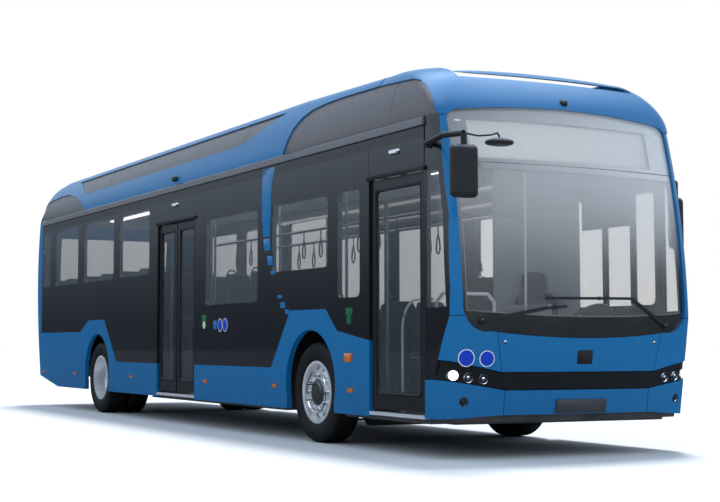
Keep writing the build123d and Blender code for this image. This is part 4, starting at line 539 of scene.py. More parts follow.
class MeshBin:
    """Joins grids of points into one mesh object, each grid with its own finish."""

    def __init__(self, name: str) -> None:
        """Starts an empty mesh with the piece's name.

        Args:
            name: The piece's name.
        """
        self.name = name
        self.points: list[np.ndarray] = []
        self.faces: list[list[int]] = []
        self.finish_of: list[int] = []
        self.finishes: list[Finish] = []
        self.count = 0

    def add(self, grid: np.ndarray, finish: Finish, closed: tuple[bool, bool] = (False, True),
            caps: bool = True) -> None:
        """Adds one grid, or several stacked along leading axes.

        Args:
            grid: Points shaped (..., rows, columns, 3).
            finish: The finish of its faces.
            closed: Whether the last row joins the first, and the last column the first.
            caps: Whether the first and the last row are each closed by one face.
        """
        rows, columns = grid.shape[-3:-1]
        copies = grid.reshape(-1, rows, columns, 3)
        index = np.arange(rows * columns).reshape(rows, columns)
        if closed[0]:
            index = np.concatenate([index, index[:1]])
        if closed[1]:
            index = np.concatenate([index, index[:, :1]], axis=1)
        quads = np.stack([index[:-1, :-1], index[:-1, 1:], index[1:, 1:], index[1:, :-1]], axis=-1).reshape(-1, 4)
        starts = self.count + rows * columns * np.arange(len(copies))
        faces = (quads[None] + starts[:, None, None]).reshape(-1, 4).tolist()
        if caps:
            faces += (starts[:, None] + index[0, :columns][::-1]).tolist()
            faces += (starts[:, None] + index[-1, :columns]).tolist()
        if finish not in self.finishes:
            self.finishes.append(finish)
        self.finish_of += [self.finishes.index(finish)] * len(faces)
        self.faces += faces
        self.points.append(copies.reshape(-1, 3))
        self.count += len(copies) * rows * columns

    def loop(self, grid: np.ndarray, finish: Finish) -> None:
        """Adds a grid that closes both ways, like a ring."""
        self.add(grid, finish, (True, True), False)

    def build(self, body: str, replaces: tuple[str, ...] = (), sharp: float = 38.0) -> bpy.types.Object:
        """Makes the object, merges poles, turns faces outwards and puts it on its body.

        Args:
            body: The CAD body it rides on.
            replaces: CAD nodes that it stands for.
            sharp: Angle in degrees past which an edge stays sharp.

        Returns:
            The object.
        """
        mesh = bpy.data.meshes.new(self.name)
        mesh.from_pydata(np.concatenate(self.points).tolist(), [], self.faces)
        for finish in self.finishes:
            mesh.materials.append(finish.material())
        mesh.polygons.foreach_set("material_index", np.array(self.finish_of, np.int32))
        work = bmesh.new()
        work.from_mesh(mesh)
        bmesh.ops.remove_doubles(work, verts=work.verts, dist=1e-6)
        bmesh.ops.recalc_face_normals(work, faces=work.faces)
        work.to_mesh(mesh)
        work.free()
        mesh.polygons.foreach_set("use_smooth", np.ones(len(mesh.polygons), bool))
        mesh.set_sharp_from_angle(angle=math.radians(sharp))
        piece = bpy.data.objects.new(self.name, mesh)
        bpy.context.scene.collection.objects.link(piece)
        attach(piece, body)
        if replaces:
            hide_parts(*replaces)
        LOG.info("piece %s: %d faces on %s", self.name, len(mesh.polygons), body)
        return piece


def turns(count: int) -> np.ndarray:
    """Angles spread evenly round one turn."""
    return np.linspace(0.0, 2.0 * np.pi, count, endpoint=False)


def spun(profile: np.ndarray, centre: np.ndarray, out: float, count: int) -> np.ndarray:
    """Surface turned about the y direction: (along, radius) pairs swept round a circle.

    Args:
        profile: Rows of distance along the axle and radius.
        centre: Point on the axle.
        out: Sign of the outward y direction.
        count: Points round the circle.

    Returns:
        Grid of len(profile) by count points.
    """
    angle = turns(count)
    radius = profile[:, 1:2]
    along = np.broadcast_to(out * profile[:, 0:1], (len(profile), count))
    return np.stack([radius * np.cos(angle), along, radius * np.sin(angle)], axis=-1) + centre


def tube(path: np.ndarray, radius: float, sides: int = 10) -> np.ndarray:
    """Round tube: a circle carried along a path, square to its direction at each point.

    Args:
        path: Points of the middle line.
        radius: The tube's radius.
        sides: Points round it.

    Returns:
        Grid of len(path) by sides points.
    """
    direction = np.gradient(path, axis=0)
    direction /= np.linalg.norm(direction, axis=1, keepdims=True)
    guide = np.where(np.abs(direction[:, 2:3]) > 0.9, [[1.0, 0.0, 0.0]], [[0.0, 0.0, 1.0]])
    first = np.cross(direction, guide)
    first /= np.linalg.norm(first, axis=1, keepdims=True)
    second = np.cross(direction, first)
    angle = turns(sides)[None, :, None]
    return path[:, None] + radius * (np.cos(angle) * first[:, None] + np.sin(angle) * second[:, None])


def ellipse(width: float, height: float, count: int = 40) -> np.ndarray:
    """Closed ellipse outline about the origin."""
    angle = turns(count)
    return np.stack([width / 2.0 * np.cos(angle), height / 2.0 * np.sin(angle)], axis=-1)


def rounded(width: float, height: float, radius: float, per_corner: int = 6) -> np.ndarray:
    """Closed rectangle outline about the origin with quarter circles at its corners.

    Args:
        width: Full width.
        height: Full height.
        radius: Radius of its corners.
        per_corner: Points on each corner.

    Returns:
        Outline of 4 per_corner points.
    """
    turn = np.linspace(0.0, np.pi / 2.0, per_corner)
    angle = (np.arange(4)[:, None] * np.pi / 2.0 + turn).ravel()
    corner = np.repeat(np.array([[1, 1], [-1, 1], [-1, -1], [1, -1]]), per_corner, axis=0)
    middle = corner * np.array([width / 2.0 - radius, height / 2.0 - radius])
    return middle + radius * np.stack([np.cos(angle), np.sin(angle)], axis=-1)


@dataclass(frozen=True)
class Seat:
    """A place on a surface: a point, two directions along it and its outward direction."""

    point: np.ndarray
    across: np.ndarray
    up: np.ndarray
    out: np.ndarray

    def moved(self, distance: float) -> "Seat":
        """The same place moved outwards."""
        return Seat(self.point + distance * self.out, self.across, self.up, self.out)

    def turned(self, profile: np.ndarray, count: int = 32) -> np.ndarray:
        """Surface turned about the outward direction: (radius, height) pairs swept round a circle.

        Args:
            profile: Rows of radius and height.
            count: Points round the circle.

        Returns:
            Grid of len(profile) by count points.
        """
        angle = turns(count)[None, :, None]
        round_way = np.cos(angle) * self.across + np.sin(angle) * self.up
        return self.point + profile[:, 0, None, None] * round_way + profile[:, 1, None, None] * self.out

    def plate(self, outline: np.ndarray, depth: float, edge: float, sunk: float = 0.002) -> np.ndarray:
        """Plate with a rounded edge: the outline carried outwards, its last row drawn in.

        Args:
            outline: Closed outline in the surface's two directions.
            depth: How far it stands out.
            edge: How far its front edge is drawn in.
            sunk: How far its back reaches into the surface.

        Returns:
            Grid of four rows.
        """
        middle = outline.mean(axis=0)
        reach = np.linalg.norm(outline - middle, axis=1).mean()
        rows = ((1.0, -sunk), (1.0, depth - edge), (1.0 - 0.3 * edge / reach, depth - 0.3 * edge),
                (1.0 - edge / reach, depth))
        flat = np.stack([middle + scale * (outline - middle) for scale, _ in rows])
        height = np.array([level for _, level in rows])[:, None, None]
        return self.point + flat[..., 0:1] * self.across + flat[..., 1:2] * self.up + height * self.out

    def dome(self, outline: np.ndarray, depth: float, rows: int = 7) -> np.ndarray:
        """Domed cover: the outline shrinks to a point along a quarter ellipse of the given depth.

        Args:
            outline: Closed outline about the place.
            depth: Height of the dome.
            rows: Points from edge to top.

        Returns:
            Grid of rows by len(outline) points.
        """
        turn = np.linspace(0.0, np.pi / 2.0, rows)[:, None, None]
        flat = np.cos(turn) * outline[None]
        return self.point + flat[..., 0:1] * self.across + flat[..., 1:2] * self.up + depth * np.sin(turn) * self.out


def node_mesh(node: str) -> tuple[np.ndarray, np.ndarray]:
    """Vertices of a CAD node and the corners of its triangles.

    Args:
        node: The node's name.

    Returns:
        Points, and rows of three point numbers.
    """
    mesh = frame["nodes"][node].data
    mesh.calc_loop_triangles()
    points = np.empty(len(mesh.vertices) * 3, np.float32)
    mesh.vertices.foreach_get("co", points)
    corners = np.empty(len(mesh.loop_triangles) * 3, np.int32)
    mesh.loop_triangles.foreach_get("vertices", corners)
    return points.reshape(-1, 3), corners.reshape(-1, 3)


class Probe:
    """Finds places on a CAD node's surface by a straight line towards it."""

    def __init__(self, node: str) -> None:
        """Reads the node's triangles into a search tree.

        Args:
            node: The node's name.
        """
        points, triangles = node_mesh(node)
        self.node = node
        self.tree = BVHTree.FromPolygons(points.tolist(), triangles.tolist())

    def seat(self, start: tuple[float, float, float], way: tuple[float, float, float]) -> Seat:
        """Place where a line from a start point first meets the node.

        Args:
            start: Where the line starts.
            way: Its direction.

        Returns:
            The seat there, with up as near to +Z as the surface allows.
        """
        point, normal, _, _ = self.tree.ray_cast(Vector(start), Vector(way))
        if point is None:
            raise ValueError(f"no surface of {self.node} is met from {start}")
        if normal.dot(Vector(way)) > 0.0:
            normal = -normal
        across = Vector((0.0, 0.0, 1.0)).cross(normal).normalized()
        return Seat(*(np.array(part) for part in (point, across, normal.cross(across), normal)))

    def front(self, y: float, z: float) -> Seat:
        """Seat on the front of the node at the given width and height."""
        return self.seat((CAD_BOX[1].x + 1.0, y, z), (-1.0, 0.0, 0.0))

    def rear(self, y: float, z: float) -> Seat:
        """Seat on the rear of the node at the given width and height."""
        return self.seat((CAD_BOX[0].x - 1.0, y, z), (1.0, 0.0, 0.0))


def side_seat(side: Side, distance: float, z: float, y: float = SIDE_Y) -> Seat:
    """Seat on a flat side panel at a distance ahead of the front axle."""
    return Seat(np.array([ahead(distance), side.value * y, z]), FORWARD, UP, side.value * LEFT)


def level_seat(x: float, y: float, z: float, way: float = 1.0) -> Seat:
    """Seat on a level surface that faces up, or down with way -1."""
    return Seat(np.array([x, y, z]), FORWARD, LEFT, way * UP)


def islands(node: str) -> list[tuple[np.ndarray, np.ndarray]]:
    """Boxes of a node's separate solids: vertices that share a place or a triangle take the lowest label.

    Args:
        node: The node's name.

    Returns:
        Lowest and highest corner of each solid.
    """
    points, corners = node_mesh(node)
    place = np.unique(np.round(points, 5), axis=0, return_inverse=True)[1].reshape(-1)
    triangles = place[corners]
    label = np.arange(place.max() + 1)
    while True:
        lowest = label[triangles].min(axis=1)
        after = label.copy()
        np.minimum.at(after, triangles.ravel(), np.repeat(lowest, 3))
        after = after[after]
        if np.array_equal(after, label):
            break
        label = after
    owner = label[place]
    return [(points[owner == name].min(axis=0), points[owner == name].max(axis=0)) for name in np.unique(owner)]


def pillow(low: np.ndarray, high: np.ndarray, crown: float, roundness: float = 0.34, pull: float = 0.05,
           rows: int = 15, columns: int = 28) -> np.ndarray:
    """Crowned cushion: a superellipsoid whose sides pull in between corners and whose top swells.

    Args:
        low: Lowest corner of its box.
        high: Highest corner of its box.
        crown: Share of the height by which the middle of the top swells.
        roundness: Power of the sines and cosines, 1 for an ellipsoid and 0 for a box.
        pull: Share by which the sides pull in between their corners.
        rows: Points from bottom to top.
        columns: Points round.

    Returns:
        Grid of rows by columns points.
    """
    tall = np.linspace(-np.pi / 2.0, np.pi / 2.0, rows)[:, None]
    turn = np.linspace(-np.pi, np.pi, columns, endpoint=False)[None]

    def soft(wave: np.ndarray) -> np.ndarray:
        """The wave with its size raised to the roundness."""
        return np.sign(wave) * np.abs(wave) ** roundness

    depth = soft(np.cos(tall)) * soft(np.cos(turn))
    width = soft(np.cos(tall)) * soft(np.sin(turn))
    level = np.broadcast_to(soft(np.sin(tall)), depth.shape)
    waist = 1.0 - pull * (1.0 - depth ** 2) * (1.0 - level ** 2)
    swell = level * (1.0 - crown) + crown * np.maximum(level, 0.0) * (1.0 - depth ** 2) * (1.0 - width ** 2)
    unit = np.stack([depth * (1.0 - pull * (1.0 - width ** 2)), width * waist, swell], axis=-1)
    return (low + high) / 2.0 + unit * (high - low) / 2.0


@dataclass
class Studio:
    """Camera at the photograph's place, pale floor and soft light."""

    eye: Colour = (15.137, -7.318, 0.927)
    yaw: float = 64.06
    pitch: float = 4.307
    roll: float = 0.133
    focal_share: float = 1379.8 / 720.0
    shift: tuple[float, float] = (0.110, -0.0138)
    sensor: float = 36.0
    floor_reach: float = 180.0
    sky: Colour = (0.74, 0.88, 1.06)
    horizon: Colour = (0.036, 0.045, 0.060)
    sky_full: float = 0.28
    sky_strength: float = 0.85
    zenith: tuple[float, float] = (0.62, 0.92)
    zenith_gain: float = 4.5
    sun_from: Colour = (-0.30, 0.26, 1.0)
    sun_strength: float = 2.6
    sun_spread: float = 12.0

    def camera(self) -> None:
        """Places the camera by yaw about z, pitch up and roll about its own line."""
        data = bpy.data.cameras.new("camera")
        data.sensor_width = self.sensor
        data.lens = self.focal_share * self.sensor
        data.shift_x, data.shift_y = self.shift
        data.clip_end = 400.0
        camera = bpy.data.objects.new("camera", data)
        turn = (Matrix.Rotation(math.radians(self.yaw), 4, "Z")
                @ Matrix.Rotation(math.radians(90.0 + self.pitch), 4, "X")
                @ Matrix.Rotation(math.radians(self.roll), 4, "Z"))
        camera.matrix_world = Matrix.Translation(self.eye) @ turn
        bpy.context.scene.collection.objects.link(camera)
        bpy.context.scene.camera = camera

    def floor(self) -> None:
        """Large pale floor just under the tyres."""
        reach = np.linspace(-self.floor_reach, self.floor_reach, 3)
        x, y = np.meshgrid(reach, reach, indexing="ij")
        mesh = bpy.data.meshes.new("floor")
        grid = np.stack([x, y, np.zeros_like(x)], axis=-1).reshape(-1, 3)
        index = np.arange(9).reshape(3, 3)
        quads = np.stack([index[:-1, :-1], index[1:, :-1], index[1:, 1:], index[:-1, 1:]], axis=-1).reshape(-1, 4)
        mesh.from_pydata(grid.tolist(), [], quads.tolist())
        mesh.materials.append(GROUND.material())
        floor = bpy.data.objects.new("floor", mesh)
        bpy.context.scene.collection.objects.link(floor)

    def world(self) -> None:
        """Soft sky: bright above, dark near the horizon, brighter overhead in mirror images, white behind the bus."""
        world = bpy.data.worlds.new("studio")
        bpy.context.scene.world = world
        world.use_nodes = True
        world.node_tree.nodes.clear()
        graph = Graph(world.node_tree)
        way = graph.add("ShaderNodeTexCoord").outputs["Generated"]
        height = graph.add("ShaderNodeSeparateXYZ", {0: way}).outputs["Z"]
        sky = graph.mix(graph.step(height, 0.0, self.sky_full), self.horizon, self.sky)
        path = graph.add("ShaderNodeLightPath")
        overhead = graph.times(graph.step(height, *self.zenith), path.outputs["Is Glossy Ray"])
        gain = graph.times(overhead, self.zenith_gain * self.sky_strength)
        strength = graph.math("ADD", gain, self.sky_strength)
        lit = graph.add("ShaderNodeBackground", {"Color": sky, "Strength": strength})
        plain = graph.add("ShaderNodeBackground", {"Color": (1.0, 1.0, 1.0), "Strength": 1.0})
        both = graph.add("ShaderNodeMixShader", {0: path.outputs["Is Camera Ray"], 1: lit.outputs[0],
                                                 2: plain.outputs[0]})
        graph.add("ShaderNodeOutputWorld", {"Surface": both.outputs[0]})

    def sun(self) -> None:
        """High soft sun from behind on the left, so that the shade falls to the door side and the front."""
        data = bpy.data.lights.new("sun", "SUN")
        data.energy = self.sun_strength
        data.angle = math.radians(self.sun_spread)
        light = bpy.data.objects.new("sun", data)
        light.matrix_world = (-Vector(self.sun_from)).to_track_quat("-Z", "Y").to_matrix().to_4x4()
        light.visible_glossy = False
        bpy.context.scene.collection.objects.link(light)

    def build(self) -> None:
        """Sets up camera, floor, sky and sun."""
        self.camera()
        self.floor()
        self.world()
        self.sun()
        bpy.context.scene.view_settings.view_transform = "Standard"
        LOG.info("studio ready")


@dataclass
class Shell:
    """Outer panels, roof, glass and what is stuck or screwed to them."""

    stripe: tuple[float, float] = (0.0012, 0.0004)
    sticker: tuple[float, float] = (0.0010, 0.0003)
    bar_z: float = 2.400
    wire_z: float = 0.033

    def dress(self) -> None:
        """Gives each CAD panel its finish."""
        table: dict[Finish, tuple[str, ...]] = {
            PAINT: ("skirts", "front_cap", "rear_cap", "roof_fairings", "front_pillars", "front_panels",
                    "rear_wall", "rear_hatch"),
            BAND: ("window_band_left", "window_band_right", "quarter_panels", "lamp_band"),
            GUTTER: ("cant_rails",),
            ROOF_PANEL: ("roof_grilles",),
            ROOF_METAL: ("battery_packs",),
            CHASSIS: ("underframe", "wheel_boxes", "chassis_rails", "axles", "knuckle_left", "knuckle_right",
                      "tie_rod", "front_frame"),
            LINING: ("roof_deck", "header_housings", "driver_screen"),
            FLOOR_COVER: ("rear_platform",),
            DASH: ("dashboard",),
            SILL: ("door_sills",),
            STEEL: ("handrails", "post_front", "post_mid_front", "post_mid_rear"),
            PLASTIC: ("mirrors", "wipers", "steering_wheel"),
            LAMP_CLEAR: ("front_lamps",),
            LAMP_RED: ("rear_lamps",),
            LAMP_AMBER: ("side_markers",),
            RIM: ("rim_front_left", "rim_front_right", "rims_rear_left", "rims_rear_right"),
            DOOR: ("leaf_front", "leaf_mid_front", "leaf_mid_rear"),
            DOOR_PANE: ("leaf_front_glass", "leaf_mid_front_glass", "leaf_mid_rear_glass"),
            PANE: ("window_glass",),
            SCREEN: ("windscreen",),
        }
        for finish, nodes in table.items():
            for node in nodes:
                materials = frame["nodes"][node].data.materials
                materials.clear()
                materials.append(finish.material())

    def stripes(self) -> None:
        """Blue stripe that thins towards the front arch and breaks into dashes, on both sides."""
        outline = np.array([(-1.05, 2.035), (-0.89, 2.035), (-0.875, 2.25), (-0.87, 2.45), (-0.835, 2.60),
                            (-0.773, 2.735), (-1.056, 2.735), (-1.082, 2.60), (-1.09, 2.45), (-1.075, 2.25)])
        dashes = np.array([(-0.958, 1.951, 0.150, 0.120), (-0.888, 1.784, 0.120, 0.095),
                           (-0.820, 1.660, 0.110, 0.035), (-0.659, 1.411, 0.090, 0.032),
                           (-0.593, 1.325, 0.110, 0.060), (-0.489, 1.256, 0.090, 0.045)])[:, None]
        lean = np.array([(-0.42, -0.5), (0.58, -0.5), (0.42, 0.5), (-0.58, 0.5)])
        for side in Side:
            stripe = MeshBin(f"stripe_{side.name.lower()}")
            for shape in (outline, *(dashes[..., :2] + lean * dashes[..., 2:])):
                stripe.add(side_seat(side, 0.0, 0.0).plate(shape, *self.stripe), PAINT)
            stripe.build(BODY)

    def marks(self) -> None:
        """Blank stickers and buttons beside the doors: squares, plain discs and ringed discs."""
        square, button, disc = rounded(0.125, 0.066, 0.008), ellipse(0.086, 0.086), ellipse(0.105, 0.105)
        marks = MeshBin("blank_marks")
        for distance, z, outline, finish in (
                (0.783, 1.232, square, DISC_GREEN), (-2.613, 1.229, square, DISC_GREEN),
                (0.779, 1.158, button, DISC_GREEN), (-2.611, 1.150, button, DISC_PALE), (-2.297, 1.146, disc, PAINT)):
            marks.add(side_seat(Side.RIGHT, distance, z).plate(outline, *self.sticker), finish)
        for distance in (-2.158, -2.021):
            ringed = side_seat(Side.RIGHT, distance, 1.144)
            marks.add(ringed.plate(ellipse(0.128, 0.147), *self.sticker), DISC_WHITE)
            marks.add(ringed.moved(self.sticker[0]).plate(ellipse(0.114, 0.132), 0.0008, 0.0003), DISC_BLUE)
        marks.build(BODY)

    def fittings(self) -> None:
        """Door lamps, the larger side lamps, bars over the doors and the side camera."""
        parts = MeshBin("side_fittings")
        for distance, z in ((1.60, 2.587), (-3.52, 2.59)):
            seat = side_seat(Side.RIGHT, distance, z)
            parts.add(seat.plate(rounded(0.17, 0.045, 0.020), 0.016, 0.006), CHROME)
            parts.add(seat.moved(0.016).plate(rounded(0.11, 0.020, 0.009), 0.004, 0.001), DISC_WHITE)
        for side in Side:
            parts.add(side_seat(side, 0.780, 0.815).plate(rounded(0.125, 0.080, 0.016), 0.022, 0.008), LAMP_AMBER)
        for first, last in (("leaf_front", "leaf_front"), ("leaf_mid_rear", "leaf_mid_front")):
            start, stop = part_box(first)[0].x - 0.035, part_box(last)[1].x + 0.045
            bar = side_seat(Side.RIGHT, (start + stop) / 2.0 - FRONT_AXLE_X, self.bar_z)
            parts.add(bar.plate(rounded(stop - start, 0.036, 0.010), 0.022, 0.008), PLASTIC)
        camera = Probe("roof_fairings").seat((ahead(-3.505), -2.0, 2.900), (0.0, 1.0, 0.0))
        parts.add(camera.plate(rounded(0.100, 0.060, 0.015), 0.045, 0.020), PLASTIC)
        parts.build(BODY)

    def tail(self) -> None:
        """Louvres on the motor hatch and round lenses in the rear lamps."""
        hatch = Probe("rear_hatch")
        vents = MeshBin("hatch_louvres")
        for z in np.linspace(0.72, 1.10, 9):
            for y in (-0.42, 0.42):
                vents.add(hatch.rear(y, z).plate(rounded(0.70, 0.020, 0.008), 0.006, 0.003), PLASTIC)
        vents.build("rear_hatch")
        probe = Probe("rear_lamps")
        lenses = MeshBin("rear_lenses")
        for side in Side:
            for z, finish in ((0.80, DISC_WHITE), (0.98, LAMP_AMBER), (1.16, LAMP_RED)):
                seat = probe.rear(side.value * 1.02, z)
                lenses.add(seat.plate(ellipse(0.150, 0.150), 0.004, 0.002), CHROME)
                lenses.add(seat.moved(0.004).dome(ellipse(0.132, 0.132), 0.014), finish, caps=False)
        lenses.build(BODY)
        LOG.info("shell dressed")

    def roof(self) -> None:
        """Ribbed lids on the battery packs, and two fans under round guards on the cooling unit."""
        trim = MeshBin("roof_trim")
        units = sorted((box for box in islands("battery_packs") if box[0][2] > 2.0), key=lambda box: box[0][0])
        for low, high in units[:-1]:
            length, width = high[0] - low[0], high[1] - low[1]
            lid = level_seat(low[0] + length / 2.0, low[1] + width / 2.0, high[2])
            trim.add(lid.plate(rounded(length - 0.10, width - 0.10, 0.04), 0.010, 0.004), ROOF_METAL)
            rib = lid.moved(0.010).plate(rounded(0.055, width - 0.30, 0.025), 0.014, 0.008)
            trim.add(rib + np.linspace(-0.5, 0.5, 7)[:, None, None, None] * (length - 0.44) * FORWARD, ROOF_METAL)
        low, high = units[-1]
        wire = ellipse(0.010, 0.010, 10)
        collar = np.array([(0.345, -0.002), (0.345, 0.030), (0.330, 0.042), (0.305, 0.036), (0.300, -0.002)])
        hub = np.array([(0.075, 0.004), (0.072, 0.018), (0.050, 0.026), (0.004, 0.028)])
        for y in (-0.38, 0.38):
            fan = level_seat((low[0] + high[0]) / 2.0, y, high[2])
            trim.loop(fan.turned(collar, 64), ROOF_METAL)
            trim.add(fan.plate(ellipse(0.60, 0.60, 64), 0.004, 0.001), PLASTIC)
            trim.add(fan.turned(hub, 40), PLASTIC)
            for radius in (0.10, 0.15, 0.20, 0.25):
                trim.loop(fan.turned(wire + [radius, self.wire_z], 56), CHROME)
            for turn in turns(8)[:4]:
                way = np.cos(turn) * FORWARD + np.sin(turn) * LEFT
                spoke = fan.moved(self.wire_z).point + np.linspace(-0.31, 0.31, 3)[:, None] * way
                trim.add(tube(spoke, 0.005, 8), CHROME)
        trim.build(BODY)

    def build(self) -> None:
        """Dresses the panels and adds what is on them."""
        for step in (self.dress, self.stripes, self.marks, self.fittings, self.roof, self.tail):
            step()


@dataclass
class FrontEnd:
    """Sign, lamps, locks, cameras, plate, mirrors and wipers of the front."""

    lamp_rows: tuple[tuple[float, float, float, Finish | None], ...] = (
        (0.939, 0.655, 0.040, None), (1.072, 0.666, 0.040, None), (1.192, 0.686, 0.042, LAMP_LIT),
        (1.098, 0.472, 0.032, PLASTIC))
    sign_lap: float = 0.015
    sign_gap: float = 0.06
    sign_levels: tuple[float, float] = (2.48, 2.80)

    def sign(self) -> None:
        """Blank pale sign behind the upper glass, bowed like the glass, on the header housing."""
        probe = Probe("windscreen")
        foot, head = (probe.front(0.0, z).point[0] for z in self.sign_levels)
        (right, low), (left, top) = SCREEN.sign_low, SCREEN.sign_high
        across = np.linspace(right - self.sign_lap, left + self.sign_lap, 25)[None, :]
        level = np.array([low, top])[:, None]
        face_x = foot + (head - foot) * (level - low) / (top - low) - self.sign_gap - across ** 2 / 12.0
        front = np.stack(np.broadcast_arrays(face_x, across, level), axis=-1)
        rear = front.copy()
        rear[..., 0] = np.minimum(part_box("header_housings")[1].x, face_x - 0.01)
        sign = MeshBin("sign")
        sign.add(np.stack([rear[0], front[0], front[1], rear[1]], axis=1), SIGN_FACE)
        sign.build(BODY)

    def lamps(self) -> None:
        """Lamps as a bright ring round a lens, lit in the outer head lamps, or round a dish with a bulb cap."""
        probe = Probe("front_lamps")
        bowls = MeshBin("lamp_bowls")
        ring = np.array([(1.00, -0.002), (1.00, 0.004), (0.95, 0.007), (0.89, 0.005), (0.86, 0.0015)])
        dish = np.array([(0.87, 0.0015), (0.60, 0.0006), (0.40, 0.0004)])
        bulb = np.array([(0.42, -0.001), (0.42, 0.004), (0.32, 0.009), (0.16, 0.012), (0.02, 0.013)])
        lens = np.array([(0.87, -0.001), (0.80, 0.005), (0.55, 0.010), (0.25, 0.012), (0.02, 0.0125)])
        for side in Side:
            for y, z, radius, cover in self.lamp_rows:
                seat = probe.front(side.value * y, z)
                bowls.add(seat.turned(ring * [radius, 1.0]), CHROME, caps=False)
                for profile, finish in ((lens, cover),) if cover else ((dish, PLASTIC), (bulb, CHROME)):
                    bowls.add(seat.turned(profile * [radius, 1.0]), finish)
        bowls.build(BODY)

    def fittings(self) -> None:
        """Locks, blank ringed discs, sensor square, blank plate, small lamps behind the glass and the camera."""
        panel = Probe("front_panels")
        glass = Probe("windscreen")
        parts = MeshBin("front_fittings")
        for side in Side:
            lock = panel.front(side.value * 0.773, 0.953)
            parts.add(lock.dome(ellipse(0.030, 0.030, 20), 0.008), CHROME, caps=False)
            lamp = glass.front(side.value * 1.049, 2.791)
            parts.add(lamp.plate(rounded(0.060, 0.016, 0.006), 0.003, 0.001), DISC_WHITE)
        for y, z, size in ((-1.105, 0.826, 0.144), (-0.926, 0.820, 0.134)):
            seat = panel.front(y, z)
            parts.add(seat.plate(ellipse(size, size), 0.0012, 0.0004), DISC_WHITE)
            parts.add(seat.moved(0.0012).plate(ellipse(0.90 * size, 0.90 * size), 0.0008, 0.0003), DISC_BLUE)
        parts.add(panel.front(0.0, 0.832).plate(rounded(0.155, 0.115, 0.012), 0.004, 0.002), PLASTIC)
        parts.add(panel.front(0.0, 0.427).plate(rounded(0.52, 0.115, 0.012), 0.010, 0.003), PLATE)
        camera = Probe("front_cap").front(0.0, 3.005)
        parts.add(camera.dome(ellipse(0.075, 0.075, 28), 0.030), PLASTIC, caps=False)
        parts.build(BODY)

    def mirrors(self) -> None:
        """Mirror glass on the rear faces and a small kerb mirror on its own arm."""
        faces = ((Side.RIGHT, 2.66, 1.300, 0.175, (2.085, 2.510)), (Side.LEFT, 2.10, 1.351, 0.090, (1.800, 2.270)))
        glass = MeshBin("mirror_glass")
        for side, distance, y, width, (low, high) in faces:
            seat = Seat(np.array([ahead(distance), side.value * y, (low + high) / 2.0]), -LEFT, UP, -FORWARD)
            glass.add(seat.plate(rounded(width, high - low - 0.07, 0.03), 0.003, 0.001), CHROME)
        route = np.array([(2.700, -1.270, 2.600), (2.690, -1.150, 2.590), (2.665, -1.010, 2.610),
                          (2.640, -0.930, 2.635), (2.630, -0.905, 2.610), (2.630, -0.905, 2.590)])
        glass.add(tube(route + [FRONT_AXLE_X, 0.0, 0.0], 0.008), PLASTIC)
        dish = np.array([ahead(2.630), -0.905, 2.560])
        half = np.array([0.090, 0.124, 0.036])
        glass.add(pillow(dish - half, dish + half, 0.2, 0.8), PLASTIC, caps=False)
        glass.build(BODY)

    def wipers(self) -> None:
        """Pivot caps of the two wipers and the clips of their blades."""
        probe = Probe("wipers")
        parts = MeshBin("wiper_parts")
        for y, z in ((-0.985, 1.124), (0.900, 1.096)):
            parts.add(probe.front(y, z).dome(ellipse(0.045, 0.045, 24), 0.016), PLASTIC, caps=False)
        for y, z in ((-0.300, 1.2424), (0.136, 1.3225)):
            parts.add(probe.front(y, z).plate(rounded(0.040, 0.030, 0.008), 0.010, 0.004), PLASTIC)
        parts.build(BODY)
        LOG.info("front end dressed")

    def build(self) -> None:
        """Builds the front's pieces."""
        for step in (self.sign, self.lamps, self.fittings, self.mirrors, self.wipers):
            step()


